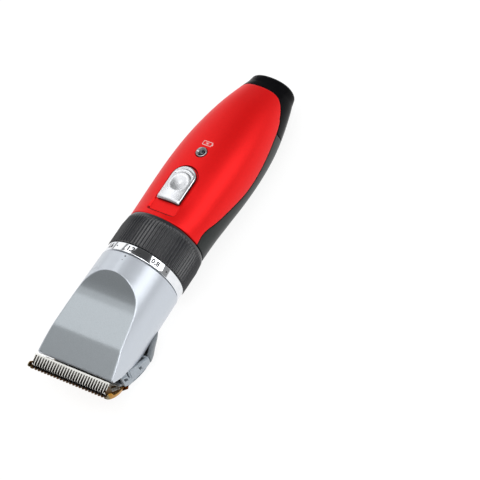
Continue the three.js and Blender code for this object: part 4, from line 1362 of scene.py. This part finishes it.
def softbox(name, azimuth, elevation, width, height, radiance):
    """Rectangular light facing the clipper, as bright as radiance times a white floor."""
    light = bpy.data.lights.new(name, "AREA")
    light.shape, light.size, light.size_y = "RECTANGLE", width, height
    light.energy = radiance * math.pi * width * height
    holder = bpy.data.objects.new(name, light)
    bpy.context.scene.collection.objects.link(holder)
    aim(holder, direction(azimuth, elevation), (0, 0, 0.02), LIGHT_DISTANCE)


def stand_camera():
    scene = bpy.context.scene
    camera = bpy.data.objects.new("camera", bpy.data.cameras.new("camera"))
    scene.collection.objects.link(camera)
    camera.data.lens, camera.data.sensor_width = CAMERA_LENS, SENSOR
    camera.data.clip_start, camera.data.clip_end = 0.05, 30
    aim(camera, direction(CAMERA_AZIMUTH, CAMERA_ELEVATION), place(CAMERA_TARGET), CAMERA_DISTANCE,
        math.radians(CAMERA_ROLL))
    scene.camera = camera


def lay_floor():
    mesh = bpy.data.meshes.new("floor")
    corners = [(FLOOR_HALF * a, FLOOR_HALF * b, 0) for a, b in ((-1, -1), (1, -1), (1, 1), (-1, 1))]
    mesh.from_pydata(corners, [], [(0, 1, 2, 3)])
    floor = bpy.data.objects.new("floor", mesh)
    bpy.context.scene.collection.objects.link(floor)
    mesh.materials.append(surface("pale_floor", (110, 110, 110), (108, 108, 108), (0.8, 0.9),
                                  scale=3))
    glow = mesh.materials[0].node_tree.nodes["Principled BSDF"]
    glow.inputs["Emission Color"].default_value = (1, 1, 1, 1)
    glow.inputs["Emission Strength"].default_value = FLOOR_GLOW


def set_lights():
    scene = bpy.context.scene
    world = bpy.data.worlds.new("studio")
    world.use_nodes = True
    tree = world.node_tree
    where = add_node(tree, "TexCoord")
    toward = add_node(tree, "VectorMath")
    toward.operation = "DOT_PRODUCT"
    toward.inputs[1].default_value = Vector((0.0, 0.42, 0.90)).normalized()
    tree.links.new(where.outputs["Generated"], toward.inputs[0])
    dim = add_node(tree, "MapRange", From_Min=0.80, From_Max=0.95, To_Min=SKY, To_Max=SKY_DARK)
    dim.interpolation_type = "SMOOTHSTEP"
    tree.links.new(toward.outputs["Value"], dim.inputs["Value"])
    tree.links.new(dim.outputs["Result"], tree.nodes["Background"].inputs["Strength"])
    tree.nodes["Background"].inputs["Color"].default_value = (1, 1, 1, 1)
    scene.world = world
    scene.view_settings.view_transform = "Standard"
    scene.view_settings.look = "None"
    for name, setting in LIGHTS.items():
        softbox(name, *setting)


grip_pieces()
slider_piece()
lamp_pieces()
ring_pieces()
head_pieces()
blade_pieces()
inner_parts()
stand_camera()
lay_floor()
set_lights()
